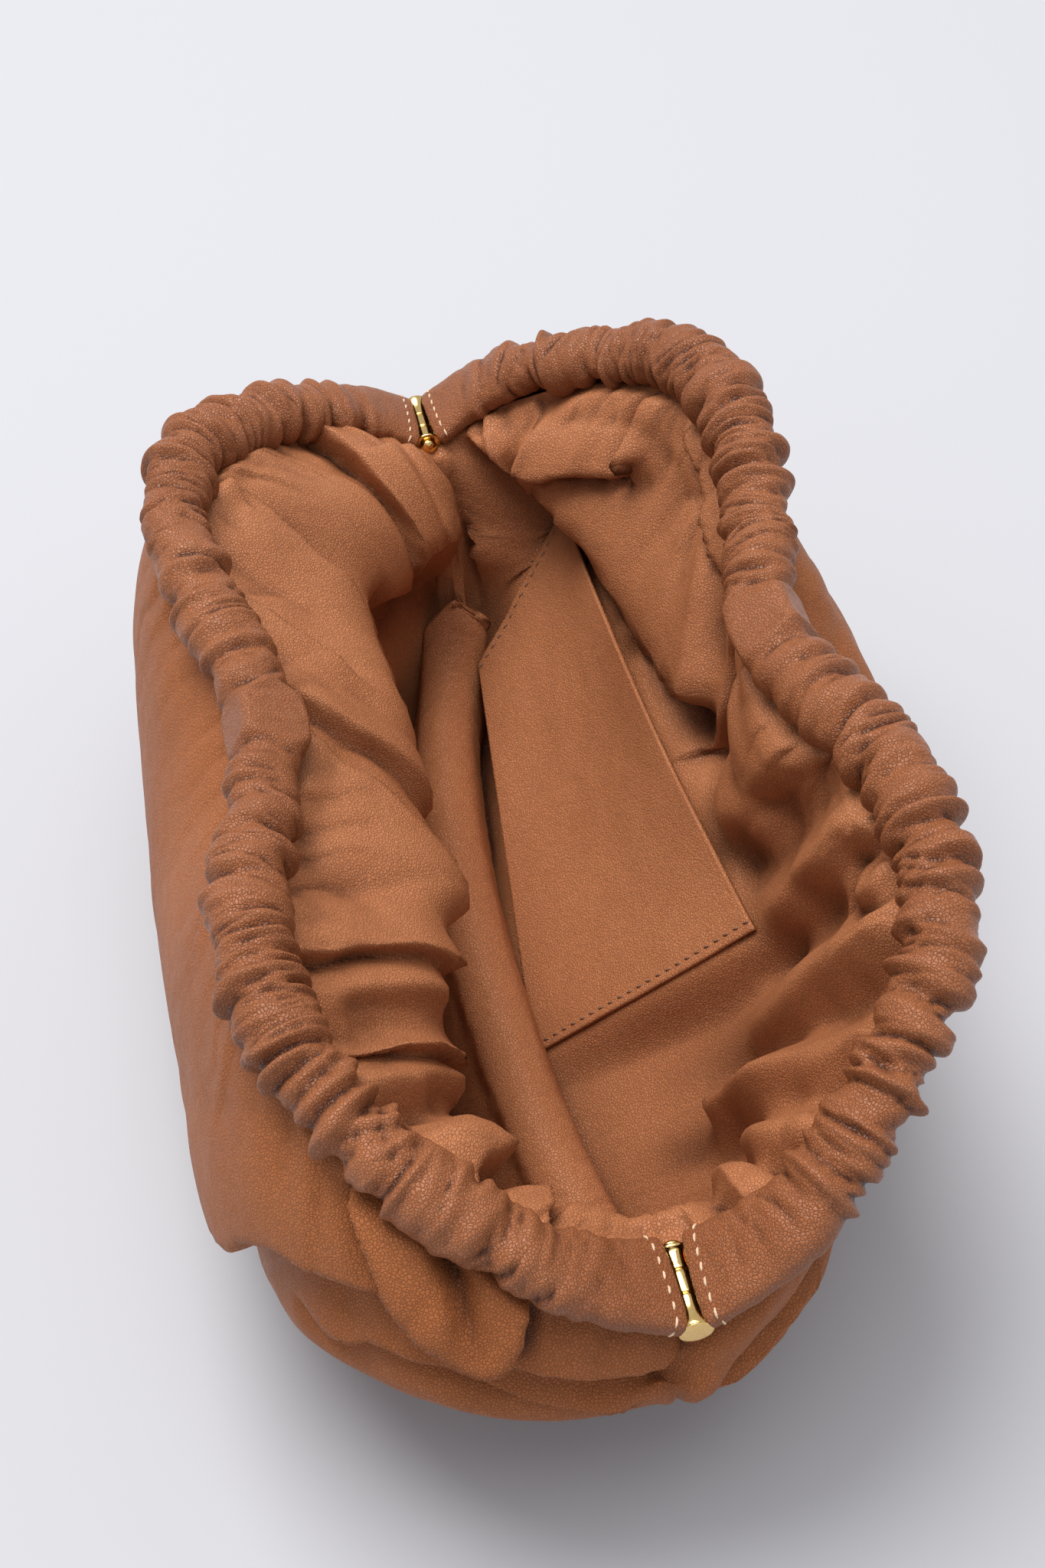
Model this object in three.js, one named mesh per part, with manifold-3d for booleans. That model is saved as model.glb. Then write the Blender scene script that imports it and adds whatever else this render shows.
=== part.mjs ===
// Gathered leather pouch bag with an open hinged frame, standing on its base. Millimetres, +Z up.
// The origin lies under the middle of the hinge axis, on the surface that the bag stands on.
// +X runs to the near hinge, -Y is the front wall and +Y the back wall, which carries the slip pocket.
import * as THREE from 'three';
import { mergeVertices } from 'three/addons/utils/BufferGeometryUtils.js';
import Module from 'manifold-3d';

const wasm = await Module();
wasm.setup();

// Driving dimensions
const hingeSpan = 300;
const hingeHeight = 90;
const frameReach = 87;
const openAngle = THREE.MathUtils.degToRad(58.7);
const barWidth = 6;
const barDepth = 2.4;
const sleeveHalfWidth = 9;
const sleeveHalfDepth = 8;
const sleeveWall = 1.5;
const sleeveEndGap = 4.4;
const gatherDepth = 0.9;
const magnetLength = 19;
const magnetWidth = 10;
const magnetDepth = 4;
const barrelRadius = 2.3;
const pinRadius = 1.1;
const pinClearance = 0.3;
const knuckleLength = 5.2;
const knuckleGap = 0.3;
const flangeRadius = 3.6;
const flangeThickness = 1.2;
const domeHeight = 1.6;
const leafLength = 7;
const bellyLength = 326;
const bellyWidth = 208;
const bellyHeight = 64;
const outerWall = 1.6;
const liningInset = 12;
const liningLength = hingeSpan - 2 * liningInset;
const liningWidth = 124;
const waistHeight = 84;
const lowHeight = 42;
const ridgeHeight = 31;
const liningWall = 1.4;
const pocketWall = 1.2;
const pocketGap = 0.9;
const pocketGape = 10;
const seamGap = 0.6;

// Resolution
const stationCount = 72;
const rowsPerKnot = 2;
const sleeveSides = 8;
const barSections = 24;
const roundSides = 16;

// Centre line of one frame half in its own plane, from the near hinge to the middle of the bar:
// span in shares of half the hinge span, reach in shares of frameReach.
const frameShape = [
  { span: 1.0, reach: 0.0 },
  { span: 0.999, reach: 0.235 },
  { span: 0.952, reach: 0.457 },
  { span: 0.878, reach: 0.656 },
  { span: 0.783, reach: 0.828 },
  { span: 0.67, reach: 0.959 },
  { span: 0.537, reach: 1.017 },
  { span: 0.4, reach: 1.013 },
  { span: 0.266, reach: 0.961 },
  { span: 0.135, reach: 0.892 },
  { span: 0.0, reach: 0.854 },
];

// Section of a gathered sleeve along its frame half: half width and half depth in shares of the
// sleeve's own, how square it is (2 is an ellipse) and how deep the gathers are there.
const sleeveShape = [
  { along: 0.0, width: 1.33, depth: 0.4, square: 3.2, gather: 0.0 },
  { along: 0.05, width: 1.28, depth: 0.52, square: 2.8, gather: 0.2 },
  { along: 0.12, width: 1.06, depth: 0.86, square: 2.2, gather: 0.9 },
  { along: 0.3, width: 1.0, depth: 1.0, square: 2.0, gather: 1.0 },
  { along: 0.45, width: 1.0, depth: 0.98, square: 2.2, gather: 0.8 },
  { along: 0.486, width: 0.98, depth: 0.96, square: 9.0, gather: 0.0 },
  { along: 0.5, width: 0.98, depth: 0.96, square: 9.0, gather: 0.0 },
];
const gatherCount = stationCount / 4;

// Outline of the outer leather at its widest, at 16 even stations round the mouth from the near
// hinge along the front: x in shares of half bellyLength, y in shares of half bellyWidth.
const bellyOutline = [
  { x: 1.0, y: -0.04 },
  { x: 0.94, y: -0.54 },
  { x: 0.71, y: -0.89 },
  { x: 0.34, y: -0.98 },
  { x: 0.0, y: -1.0 },
  { x: -0.34, y: -1.0 },
  { x: -0.69, y: -0.9 },
  { x: -0.92, y: -0.53 },
  { x: -0.98, y: 0.0 },
  { x: -0.92, y: 0.43 },
  { x: -0.69, y: 0.82 },
  { x: -0.34, y: 0.94 },
  { x: 0.0, y: 0.96 },
  { x: 0.32, y: 0.91 },
  { x: 0.64, y: 0.65 },
  { x: 0.88, y: 0.35 },
];

// How the outer leather falls from the mouth to the floor: reach goes from the mouth (0) to the
// belly outline (1), spread shrinks the outline below the belly, height is a share of the drop
// from the mouth to the belly (above 1) or of bellyHeight (up to 1).
const outerFall = [
  { reach: 0.0, spread: 1.0, height: 2.0 },
  { reach: 0.5, spread: 1.0, height: 1.74 },
  { reach: 0.86, spread: 1.0, height: 1.4 },
  { reach: 1.0, spread: 1.0, height: 1.0 },
  { reach: 1.0, spread: 0.985, height: 0.55 },
  { reach: 1.0, spread: 0.93, height: 0.17 },
  { reach: 1.0, spread: 0.84, height: 0.0 },
];

// The lining at the same 16 stations: x in shares of half liningLength, y in shares of half
// liningWidth, at its waist, lower down, in the valley beside the ridge and on the ridge's crest.
const liningShape = [
  { waistX: 0.93, waistY: -0.03, lowX: 0.87, lowY: -0.1, valleyX: 0.78, valleyY: -0.16, crestX: 0.71, crestY: -0.15 },
  { waistX: 0.84, waistY: -0.42, lowX: 0.78, lowY: -0.42, valleyX: 0.71, valleyY: -0.39, crestX: 0.64, crestY: -0.18 },
  { waistX: 0.61, waistY: -0.68, lowX: 0.58, lowY: -0.68, valleyX: 0.52, valleyY: -0.58, crestX: 0.48, crestY: -0.24 },
  { waistX: 0.32, waistY: -0.61, lowX: 0.3, lowY: -0.68, valleyX: 0.28, valleyY: -0.61, crestX: 0.25, crestY: -0.29 },
  { waistX: 0.0, waistY: -0.53, lowX: -0.01, lowY: -0.65, valleyX: -0.01, valleyY: -0.61, crestX: -0.03, crestY: -0.31 },
  { waistX: -0.33, waistY: -0.53, lowX: -0.33, lowY: -0.61, valleyX: -0.3, valleyY: -0.58, crestX: -0.3, crestY: -0.29 },
  { waistX: -0.64, waistY: -0.58, lowX: -0.61, lowY: -0.58, valleyX: -0.57, valleyY: -0.52, crestX: -0.57, crestY: -0.21 },
  { waistX: -0.87, waistY: -0.35, lowX: -0.81, lowY: -0.32, valleyX: -0.77, valleyY: -0.29, crestX: -0.75, crestY: -0.1 },
  { waistX: -0.98, waistY: 0.03, lowX: -0.94, lowY: 0.05, valleyX: -0.88, valleyY: 0.06, crestX: -0.85, crestY: 0.03 },
  { waistX: -0.9, waistY: 0.55, lowX: -0.84, lowY: 0.35, valleyX: -0.77, valleyY: 0.1, crestX: -0.75, crestY: -0.1 },
  { waistX: -0.65, waistY: 0.87, lowX: -0.61, lowY: 0.58, valleyX: -0.57, valleyY: -0.02, crestX: -0.57, crestY: -0.21 },
  { waistX: -0.35, waistY: 1.0, lowX: -0.33, lowY: 0.71, valleyX: -0.3, valleyY: -0.08, crestX: -0.3, crestY: -0.29 },
  { waistX: 0.0, waistY: 1.0, lowX: -0.01, lowY: 0.74, valleyX: -0.03, valleyY: -0.1, crestX: -0.03, crestY: -0.31 },
  { waistX: 0.33, waistY: 1.0, lowX: 0.3, lowY: 0.73, valleyX: 0.25, valleyY: -0.08, crestX: 0.25, crestY: -0.29 },
  { waistX: 0.64, waistY: 0.84, lowX: 0.58, lowY: 0.61, valleyX: 0.48, valleyY: -0.03, crestX: 0.48, crestY: -0.24 },
  { waistX: 0.86, waistY: 0.45, lowX: 0.78, lowY: 0.35, valleyX: 0.65, valleyY: 0.03, crestX: 0.64, crestY: -0.18 },
];

// Where the lining's edge lies off the sleeve's centre line, in shares of the sleeve's half width
// towards the mouth and of its half depth underneath.
const liningEdge = { across: 0.72, under: 0.76 };

// Folds of the outer leather and puffs of the lining. Each runs along a line from one place round
// the mouth and one height, in shares of hingeHeight, to another, with a half width across it and a
// depth, out of the wall where positive and into the bag where negative.
const outerFolds = [
  { from: 0.13, fromHeight: 0.73, to: 0.0, toHeight: 0.49, width: 13, depth: -6 },
  { from: 0.1, fromHeight: 0.98, to: 0.03, toHeight: 0.69, width: 12, depth: 5 },
  { from: 0.17, fromHeight: 1.02, to: 0.36, toHeight: 0.98, width: 26, depth: -5 },
  { from: 0.39, fromHeight: 0.87, to: 0.47, toHeight: 0.53, width: 13, depth: -5 },
  { from: 0.55, fromHeight: 0.58, to: 0.63, toHeight: 0.93, width: 13, depth: -5 },
  { from: 0.66, fromHeight: 1.02, to: 0.84, toHeight: 1.04, width: 22, depth: -4 },
  { from: 0.87, fromHeight: 0.84, to: 0.97, toHeight: 0.51, width: 13, depth: -5 },
];
const liningFolds = [
  { from: 0.24, fromHeight: 0.93, to: 0.34, toHeight: 0.89, width: 20, depth: -5 },
  { from: 0.15, fromHeight: 1.11, to: 0.19, toHeight: 0.53, width: 12, depth: 4 },
  { from: 0.08, fromHeight: 1.07, to: 0.11, toHeight: 0.49, width: 12, depth: -4 },
  { from: 0.4, fromHeight: 1.11, to: 0.43, toHeight: 0.62, width: 12, depth: 4 },
  { from: 0.86, fromHeight: 1.11, to: 0.8, toHeight: 0.67, width: 14, depth: -5 },
  { from: 0.72, fromHeight: 1.31, to: 0.66, toHeight: 0.98, width: 15, depth: -5 },
  { from: 0.93, fromHeight: 1.02, to: 0.9, toHeight: 0.56, width: 11, depth: 4 },
  { from: 0.58, fromHeight: 1.09, to: 0.57, toHeight: 0.67, width: 12, depth: 4 },
];
const pleatDepth = 1.3;

// Materials
const leather = new THREE.MeshStandardMaterial({ color: 0xa8693f, roughness: 0.5, metalness: 0 });
const liningLeather = new THREE.MeshStandardMaterial({ color: 0xa0623c, roughness: 0.55, metalness: 0 });
const steel = new THREE.MeshStandardMaterial({ color: 0x8a8a8c, roughness: 0.4, metalness: 1 });
const brass = new THREE.MeshStandardMaterial({ color: 0xd6a84a, roughness: 0.15, metalness: 1 });

const mix = THREE.MathUtils.lerp;
const smooth = THREE.MathUtils.smoothstep;
const vec = (x, y, z) => new THREE.Vector3(x, y, z);

// Value of one column of a table at a place between its rows.
function column(table, placeName, name, place) {
  const last = table.length - 1;
  let row = 0;
  while (row < last - 1 && table[row + 1][placeName] < place) row += 1;
  const from = table[row];
  const to = table[row + 1];
  const share = smooth(place, from[placeName], to[placeName]);
  return mix(from[name], to[name], share);
}

// A closed table's column at a place round the mouth (0 to 1), as a smooth closed curve.
function roundColumn(table, name, place) {
  const count = table.length;
  const at = ((place % 1) + 1) % 1 * count;
  const base = Math.floor(at);
  const t = at - base;
  const [a, b, c, d] = [-1, 0, 1, 2].map((k) => table[(base + k + count) % count][name]);
  return 0.5 * (2 * b + (c - a) * t + (2 * a - 5 * b + 4 * c - d) * t * t + (3 * b - a - 3 * c + d) * t * t * t);
}

// Unit vectors of a frame half's plane: out from the hinge axis, and its inner face.
function planeOf(side) {
  return {
    out: vec(0, side * Math.sin(openAngle), Math.cos(openAngle)),
    face: vec(0, -side * Math.cos(openAngle), Math.sin(openAngle)),
  };
}

function frameCurve(side) {
  const { out } = planeOf(side);
  const point = (span, reach) =>
    vec((span * hingeSpan) / 2, 0, hingeHeight).addScaledVector(out, reach * frameReach);
  const half = frameShape.map((row) => point(row.span, row.reach));
  const mirrored = frameShape.slice(0, -1).reverse().map((row) => point(-row.span, row.reach));
  const curve = new THREE.CatmullRomCurve3([...half, ...mirrored]);
  curve.arcLengthDivisions = 400;
  return curve;
}
const curves = { front: frameCurve(-1), back: frameCurve(1) };
const frameLength = curves.front.getLength();
const mouthLength = 2 * frameLength;

// Place on a frame half: its centre, the way into the mouth in the frame's plane and the inner face.
function frameAt(side, along) {
  const curve = side < 0 ? curves.front : curves.back;
  const { face } = planeOf(side);
  const centre = curve.getPointAt(along);
  const tangent = curve.getTangentAt(along);
  const inward = vec(0, 0, 0).crossVectors(face, tangent).multiplyScalar(side).normalize();
  return { centre, tangent, inward, face };
}

// Geometry from rows of points. Each row is a closed ring; rows of equal length are joined.
function sheetOf(rows, ringClosed = true) {
  const positions = [];
  const wide = rows[0].length;
  const steps = ringClosed ? wide : wide - 1;
  const quad = (a, b, c, d) => {
    for (const p of [a, b, c, a, c, d]) positions.push(p.x, p.y, p.z);
  };
  for (let r = 0; r + 1 < rows.length; r += 1)
    for (let k = 0; k < steps; k += 1) {
      const next = (k + 1) % wide;
      quad(rows[r][k], rows[r + 1][k], rows[r + 1][next], rows[r][next]);
    }
  return positions;
}

function fanOf(ring, centre, flip) {
  const positions = [];
  ring.forEach((p, k) => {
    const q = ring[(k + 1) % ring.length];
    for (const c of flip ? [q, p, centre] : [p, q, centre]) positions.push(c.x, c.y, c.z);
  });
  return positions;
}

function geometryOf(positions) {
  const geometry = new THREE.BufferGeometry();
  geometry.setAttribute('position', new THREE.Float32BufferAttribute(positions, 3));
  return mergeVertices(geometry, 1e-3);
}

// Drops triangles that merging has made into lines.
function withoutSlivers(geometry) {
  const index = [];
  const old = geometry.index.array;
  for (let i = 0; i < old.length; i += 3) {
    const [a, b, c] = [old[i], old[i + 1], old[i + 2]];
    if (a !== b && b !== c && c !== a) index.push(a, b, c);
  }
  geometry.setIndex(index);
  return geometry;
}

// An open sheet becomes a closed wall: a second face lies one wall behind it, joined at the edge.
function thicken(sheet, wall) {
  const geometry = withoutSlivers(sheet);
  geometry.computeVertexNormals();
  const points = geometry.attributes.position;
  const normals = geometry.attributes.normal;
  const count = points.count;
  const positions = [];
  for (let i = 0; i < count; i += 1) positions.push(points.getX(i), points.getY(i), points.getZ(i));
  for (let i = 0; i < count; i += 1)
    positions.push(
      points.getX(i) - wall * normals.getX(i),
      points.getY(i) - wall * normals.getY(i),
      points.getZ(i) - wall * normals.getZ(i),
    );
  const faces = Array.from(geometry.index.array);
  const used = new Map();
  for (let i = 0; i < faces.length; i += 3)
    for (const [a, b] of [[0, 1], [1, 2], [2, 0]]) used.set(`${faces[i + a]} ${faces[i + b]}`, [faces[i + a], faces[i + b]]);
  const index = [...faces];
  for (let i = 0; i < faces.length; i += 3)
    index.push(faces[i + 2] + count, faces[i + 1] + count, faces[i] + count);
  for (const [a, b] of used.values())
    if (!used.has(`${b} ${a}`)) index.push(b, a, a + count, b, a + count, b + count);
  const closed = new THREE.BufferGeometry();
  closed.setAttribute('position', new THREE.Float32BufferAttribute(positions, 3));
  closed.setIndex(index);
  return closed;
}

function solidOf(geometry) {
  const bare = geometry.clone();
  bare.deleteAttribute('normal');
  bare.deleteAttribute('uv');
  const merged = mergeVertices(bare, 1e-3);
  return new wasm.Manifold(
    new wasm.Mesh({
      numProp: 3,
      vertProperties: merged.attributes.position.array,
      triVerts: new Uint32Array(merged.index.array),
    }),
  );
}

function geometryFrom(solid) {
  const mesh = solid.getMesh();
  const geometry = new THREE.BufferGeometry();
  geometry.setAttribute('position', new THREE.BufferAttribute(mesh.vertProperties, 3));
  geometry.setIndex(new THREE.BufferAttribute(mesh.triVerts, 1));
  return geometry;
}

// Gathered sleeve round one frame half, open at both hinge ends.
const sleeveStart = sleeveEndGap / frameLength;
function sleeveSection(along) {
  const place = Math.min(along, 1 - along);
  const wave = Math.cos(2 * Math.PI * gatherCount * along);
  const gather = gatherDepth * column(sleeveShape, 'along', 'gather', place) * wave;
  return {
    width: sleeveHalfWidth * column(sleeveShape, 'along', 'width', place) + gather,
    depth: sleeveHalfDepth * column(sleeveShape, 'along', 'depth', place) + gather,
    square: column(sleeveShape, 'along', 'square', place),
  };
}

function sleeveRing(side, along, inset) {
  const { centre, inward, face } = frameAt(side, along);
  const { width, depth, square } = sleeveSection(along);
  const ring = [];
  for (let k = 0; k < sleeveSides; k += 1) {
    const angle = (2 * Math.PI * (k + 0.5)) / sleeveSides;
    const across = Math.sign(Math.cos(angle)) * Math.abs(Math.cos(angle)) ** (2 / square);
    const over = Math.sign(Math.sin(angle)) * Math.abs(Math.sin(angle)) ** (2 / square);
    ring.push(
      centre.clone()
        .addScaledVector(inward, (width - inset) * across)
        .addScaledVector(face, (depth - inset) * over),
    );
  }
  return side < 0 ? ring : ring.reverse();
}

// The sleeve's sections stand at the stations of the mouth, with two more beside the magnet.
const plate = (0.5 * magnetLength + 2) / frameLength;
const sleevePlaces = Array.from({ length: stationCount / 2 + 1 }, (_, k) => (2 * k) / stationCount)
  .concat(0.5 - plate, 0.5 + plate)
  .sort((a, b) => a - b)
  .map((along) => THREE.MathUtils.clamp(along, sleeveStart, 1 - sleeveStart));

function sleeve(side) {
  const outer = [];
  const inner = [];
  for (const along of sleevePlaces) {
    outer.push(sleeveRing(side, along, 0));
    inner.push(sleeveRing(side, along, sleeveWall));
  }
  const rows = [...outer, ...inner.reverse(), outer[0]];
  return geometryOf(sheetOf(rows));
}

// Rim of the outer leather and of the lining, beside the sleeve, at a place round the mouth.
function mouthAt(place) {
  const side = place <= 0.5 ? -1 : 1;
  const along = side < 0 ? 2 * place : 2 - 2 * place;
  const spot = frameAt(side, along);
  const fromHinge = Math.min(along, 1 - along) * frameLength;
  const face = spot.face.clone();
  face.y *= smooth(fromHinge, 0, 5 * sleeveEndGap);
  face.normalize();
  const { width, depth } = sleeveSection(along);
  return { ...spot, face, width, depth };
}

// How far folds and pleats move a point of a wall, from its place and height and its share of the
// way down from the edge. The pleats start below the edge and fade towards the belly.
function foldOffset(folds, place, height, down) {
  const wrap = (value) => value - Math.round(value);
  let offset = 0;
  for (const fold of folds) {
    const run = wrap(fold.to - fold.from) * mouthLength;
    const rise = (fold.toHeight - fold.fromHeight) * hingeHeight;
    const x = wrap(place - fold.from) * mouthLength;
    const y = height - fold.fromHeight * hingeHeight;
    const share = THREE.MathUtils.clamp((x * run + y * rise) / (run * run + rise * rise), 0, 1);
    const away = Math.hypot(x - share * run, y - share * rise) / fold.width;
    offset += fold.depth * Math.exp(-away * away);
  }
  const pleat = smooth(down, 0.04, 0.16) * (1 - smooth(down, 0.2, 0.5));
  return offset * smooth(down, 0, 0.25) + pleatDepth * pleat * Math.cos(Math.PI * stationCount * place);
}

// Level direction out of a closed outline at a place.
function outwardOf(pointAt, place) {
  const ahead = pointAt(place + 0.01);
  const behind = pointAt(place - 0.01);
  return vec(behind.y - ahead.y, ahead.x - behind.x, 0).normalize();
}

function folded(points, folds, place, outward) {
  const count = points.length - 1;
  return points.map((p, row) =>
    p.clone().addScaledVector(outward, foldOffset(folds, place, p.z, row / count)),
  );
}

function outerColumn(place) {
  const { centre, face, depth } = mouthAt(place);
  const rim = centre.clone().addScaledVector(face, -(Math.max(depth, flangeRadius) + seamGap));
  const bellyAt = (spot) =>
    vec(
      (roundColumn(bellyOutline, 'x', spot) * bellyLength) / 2,
      (roundColumn(bellyOutline, 'y', spot) * bellyWidth) / 2,
      0,
    );
  const belly = bellyAt(place);
  const knots = outerFall.map((row) =>
    vec(
      mix(rim.x, belly.x * row.spread, row.reach),
      mix(rim.y, belly.y * row.spread, row.reach),
      row.height > 1 ? mix(bellyHeight, rim.z, row.height - 1) : bellyHeight * row.height,
    ),
  );
  return folded(sampleKnots(knots), outerFolds, place, outwardOf(bellyAt, place));
}

function sampleKnots(knots) {
  const curve = new THREE.CatmullRomCurve3(knots);
  const points = curve.getPoints((knots.length - 1) * rowsPerKnot);
  for (const p of points) p.z = Math.max(p.z, 0);
  return points;
}

function liningColumn(place) {
  const { centre, inward, face, width, depth } = mouthAt(place);
  const rim = centre.clone()
    .addScaledVector(inward, liningEdge.across * (width + seamGap + liningWall))
    .addScaledVector(face, -liningEdge.under * (Math.max(depth, flangeRadius) + seamGap + liningWall));
  const at = (name, height, spot = place) =>
    vec(
      (roundColumn(liningShape, `${name}X`, spot) * liningLength) / 2,
      (roundColumn(liningShape, `${name}Y`, spot) * liningWidth) / 2,
      height,
    );
  const floor = outerWall + seamGap + liningWall;
  const waist = at('waist', waistHeight);
  const low = at('low', lowHeight);
  const valley = at('valley', floor);
  const crest = at('crest', ridgeHeight);
  const puff = rim.clone().lerp(waist, 0.5);
  const flank = valley.clone().lerp(crest, 0.42);
  flank.z = mix(floor, ridgeHeight, 0.58);
  const outward = outwardOf((spot) => at('waist', 0, spot), place);
  return folded(sampleKnots([rim, puff, waist, low, valley, flank, crest]), liningFolds, place, outward);
}

// Turns columns, one for each station, into rows.
function rowsOf(columns) {
  return columns[0].map((_, row) => columns.map((points) => points[row]));
}
const stations = Array.from({ length: stationCount }, (_, k) => k / stationCount);

function outerShell() {
  const rows = rowsOf(stations.map(outerColumn)).map((row) => row.reverse());
  const floorRing = rows[rows.length - 1];
  const middle = floorRing.reduce((sum, p) => sum.add(p), vec(0, 0, 0)).divideScalar(floorRing.length);
  const positions = [...sheetOf(rows), ...fanOf(floorRing, middle, true)];
  return thicken(geometryOf(positions), outerWall);
}

function zipped(columns) {
  // The crest is one line, shared by the front and the back half of the lining.
  const last = columns[0].length - 1;
  for (let k = 1; k < stationCount / 2; k += 1) columns[stationCount - k][last].copy(columns[k][last]);
  return columns;
}
const liningRows = rowsOf(zipped(stations.map(liningColumn)));

function lining() {
  return thicken(geometryOf(sheetOf(liningRows)), liningWall);
}

// One frame half: a flat bar on the frame curve, brazed to leaves and knuckles at both hinges.
function ringOfBar(side, along) {
  const { centre, inward, face } = frameAt(side, along);
  const corner = (a, b) =>
    centre.clone().addScaledVector(inward, (a * barWidth) / 2).addScaledVector(face, (b * barDepth) / 2);
  const ring = [corner(1, 1), corner(-1, 1), corner(-1, -1), corner(1, -1)];
  return side < 0 ? ring : ring.reverse();
}

function bar(side) {
  const start = (sleeveEndGap + leafLength / 2) / frameLength;
  const rows = [];
  for (let i = 0; i <= barSections; i += 1) rows.push(ringOfBar(side, mix(start, 1 - start, i / barSections)));
  const centreOf = (ring) => ring.reduce((sum, p) => sum.add(p), vec(0, 0, 0)).divideScalar(ring.length);
  const first = rows[0];
  const last = rows[rows.length - 1];
  return geometryOf([
    ...sheetOf(rows),
    ...fanOf(first, centreOf(first), false),
    ...fanOf(last, centreOf(last), true),
  ]);
}

// Puts a geometry made on the hinge axis (X) with the frame's plane along +Z into a frame half.
function atHinge(geometry, end, side) {
  geometry.rotateX(-side * openAngle);
  geometry.translate((end * hingeSpan) / 2, 0, hingeHeight);
  return geometry;
}

const pitch = knuckleLength + knuckleGap;
function knuckle(offset) {
  const tube = new THREE.CylinderGeometry(barrelRadius, barrelRadius, knuckleLength, roundSides);
  tube.rotateZ(Math.PI / 2);
  tube.translate(offset, 0, 0);
  return tube;
}

function frameHalf(side) {
  const offsets = side < 0 ? [-pitch, pitch] : [0];
  let solid = solidOf(bar(side));
  for (const end of [-1, 1]) {
    const leafWidth = 2 * pitch + knuckleLength;
    const leaf = new THREE.BoxGeometry(leafWidth, barDepth, leafLength);
    leaf.translate(0, 0, sleeveEndGap - 1 + leafLength / 2);
    solid = solid.add(solidOf(atHinge(leaf, end, side)));
    for (const offset of offsets) {
      const tab = new THREE.BoxGeometry(knuckleLength, barDepth, sleeveEndGap);
      tab.translate(offset, 0, sleeveEndGap / 2);
      solid = solid.add(solidOf(atHinge(tab, end, side)));
      solid = solid.add(solidOf(atHinge(knuckle(offset), end, side)));
    }
    const bore = new THREE.CylinderGeometry(
      pinRadius + pinClearance,
      pinRadius + pinClearance,
      4 * pitch,
      roundSides,
    );
    bore.rotateZ(Math.PI / 2);
    solid = solid.subtract(solidOf(atHinge(bore, end, side)));
  }
  return geometryFrom(solid);
}

// Hinge pin with a flanged, domed head at each end of the barrel.
function hingePin(end) {
  const half = 1.5 * knuckleLength + knuckleGap + pinClearance;
  const tip = half + flangeThickness + domeHeight;
  const domeRadius = 0.62 * flangeRadius;
  const profile = [
    [0, -tip],
    [0.7 * domeRadius, -tip + 0.3 * domeHeight],
    [domeRadius, -half - flangeThickness],
    [flangeRadius, -half - 0.6 * flangeThickness],
    [flangeRadius, -half],
    [pinRadius, -half],
  ];
  const mirrored = profile.map(([radius, height]) => [radius, -height]).reverse();
  const points = [...profile, ...mirrored].map(([radius, height]) => new THREE.Vector2(radius, height));
  const pin = new THREE.LatheGeometry(points, roundSides);
  pin.rotateZ(Math.PI / 2);
  pin.translate((end * hingeSpan) / 2, 0, hingeHeight);
  return pin;
}

// Closing magnet, a flat block on the inner face of a frame half's bar.
function magnet(side) {
  const { centre, face } = frameAt(side, 0.5);
  const block = new THREE.BoxGeometry(magnetLength, magnetWidth, magnetDepth);
  block.rotateX(side * (Math.PI / 2 - openAngle));
  const seat = centre.clone().addScaledVector(face, barDepth / 2 + 0.3 + magnetDepth / 2);
  block.translate(seat.x, seat.y, seat.z);
  return block;
}

// Slip pocket: a leather panel over part of the lining's back wall, sewn at its ends and foot,
// with its mouth standing off the wall.
// Its ends are places round the mouth; its mouth and foot are shares of the way down the lining.
const pocketShape = { end: 0.6, start: 0.82, mouth: 0.42, foot: 0.67, footLift: 0.3 };
const pocketStations = {
  from: Math.round(pocketShape.end * stationCount),
  to: Math.round(pocketShape.start * stationCount),
};
const pocketRows = {
  from: Math.round(pocketShape.mouth * (liningRows.length - 1)),
  to: Math.round(pocketShape.foot * (liningRows.length - 1)),
};
function pocket() {
  const normalsOf = (row, k) => {
    const round = (n) => (n + stationCount) % stationCount;
    const along = liningRows[row][round(k + 1)].clone().sub(liningRows[row][round(k - 1)]);
    const down = liningRows[row + 1][k].clone().sub(liningRows[row - 1][k]);
    return vec(0, 0, 0).crossVectors(down, along).normalize();
  };
  const rows = [];
  for (let row = pocketRows.from; row <= pocketRows.to; row += 1) {
    const ring = [];
    for (let k = pocketStations.from; k <= pocketStations.to; k += 1) {
      const across = (k - pocketStations.from) / (pocketStations.to - pocketStations.from);
      const up = (pocketRows.to - row) / (pocketRows.to - pocketRows.from);
      const gape = pocketGape * up ** 1.5 * Math.sin(Math.PI * across) ** 0.7;
      const lift = row === pocketRows.to ? pocketShape.footLift : 0;
      const onWall = liningRows[row][k].clone().lerp(liningRows[row - 1][k], lift);
      ring.push(onWall.addScaledVector(normalsOf(row, k), pocketGap + pocketWall + gape));
    }
    rows.push(ring);
  }
  return thicken(geometryOf(sheetOf(rows, false)), pocketWall);
}

const bag = new THREE.Group();
function add(name, geometry, material) {
  const mesh = new THREE.Mesh(geometry, material);
  mesh.name = name;
  bag.add(mesh);
}
add('outer_leather', outerShell(), leather);
add('lining', lining(), liningLeather);
add('slip_pocket', pocket(), liningLeather);
for (const [name, side] of [['front', -1], ['back', 1]]) {
  add(`${name}_sleeve`, sleeve(side), leather);
  add(`${name}_frame`, frameHalf(side), brass);
  add(`${name}_magnet`, magnet(side), steel);
}
add('near_hinge_pin', hingePin(1), brass);
add('far_hinge_pin', hingePin(-1), brass);

export default bag;
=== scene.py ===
import math
import bmesh
import bpy
import numpy as np
from mathutils import Matrix


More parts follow.
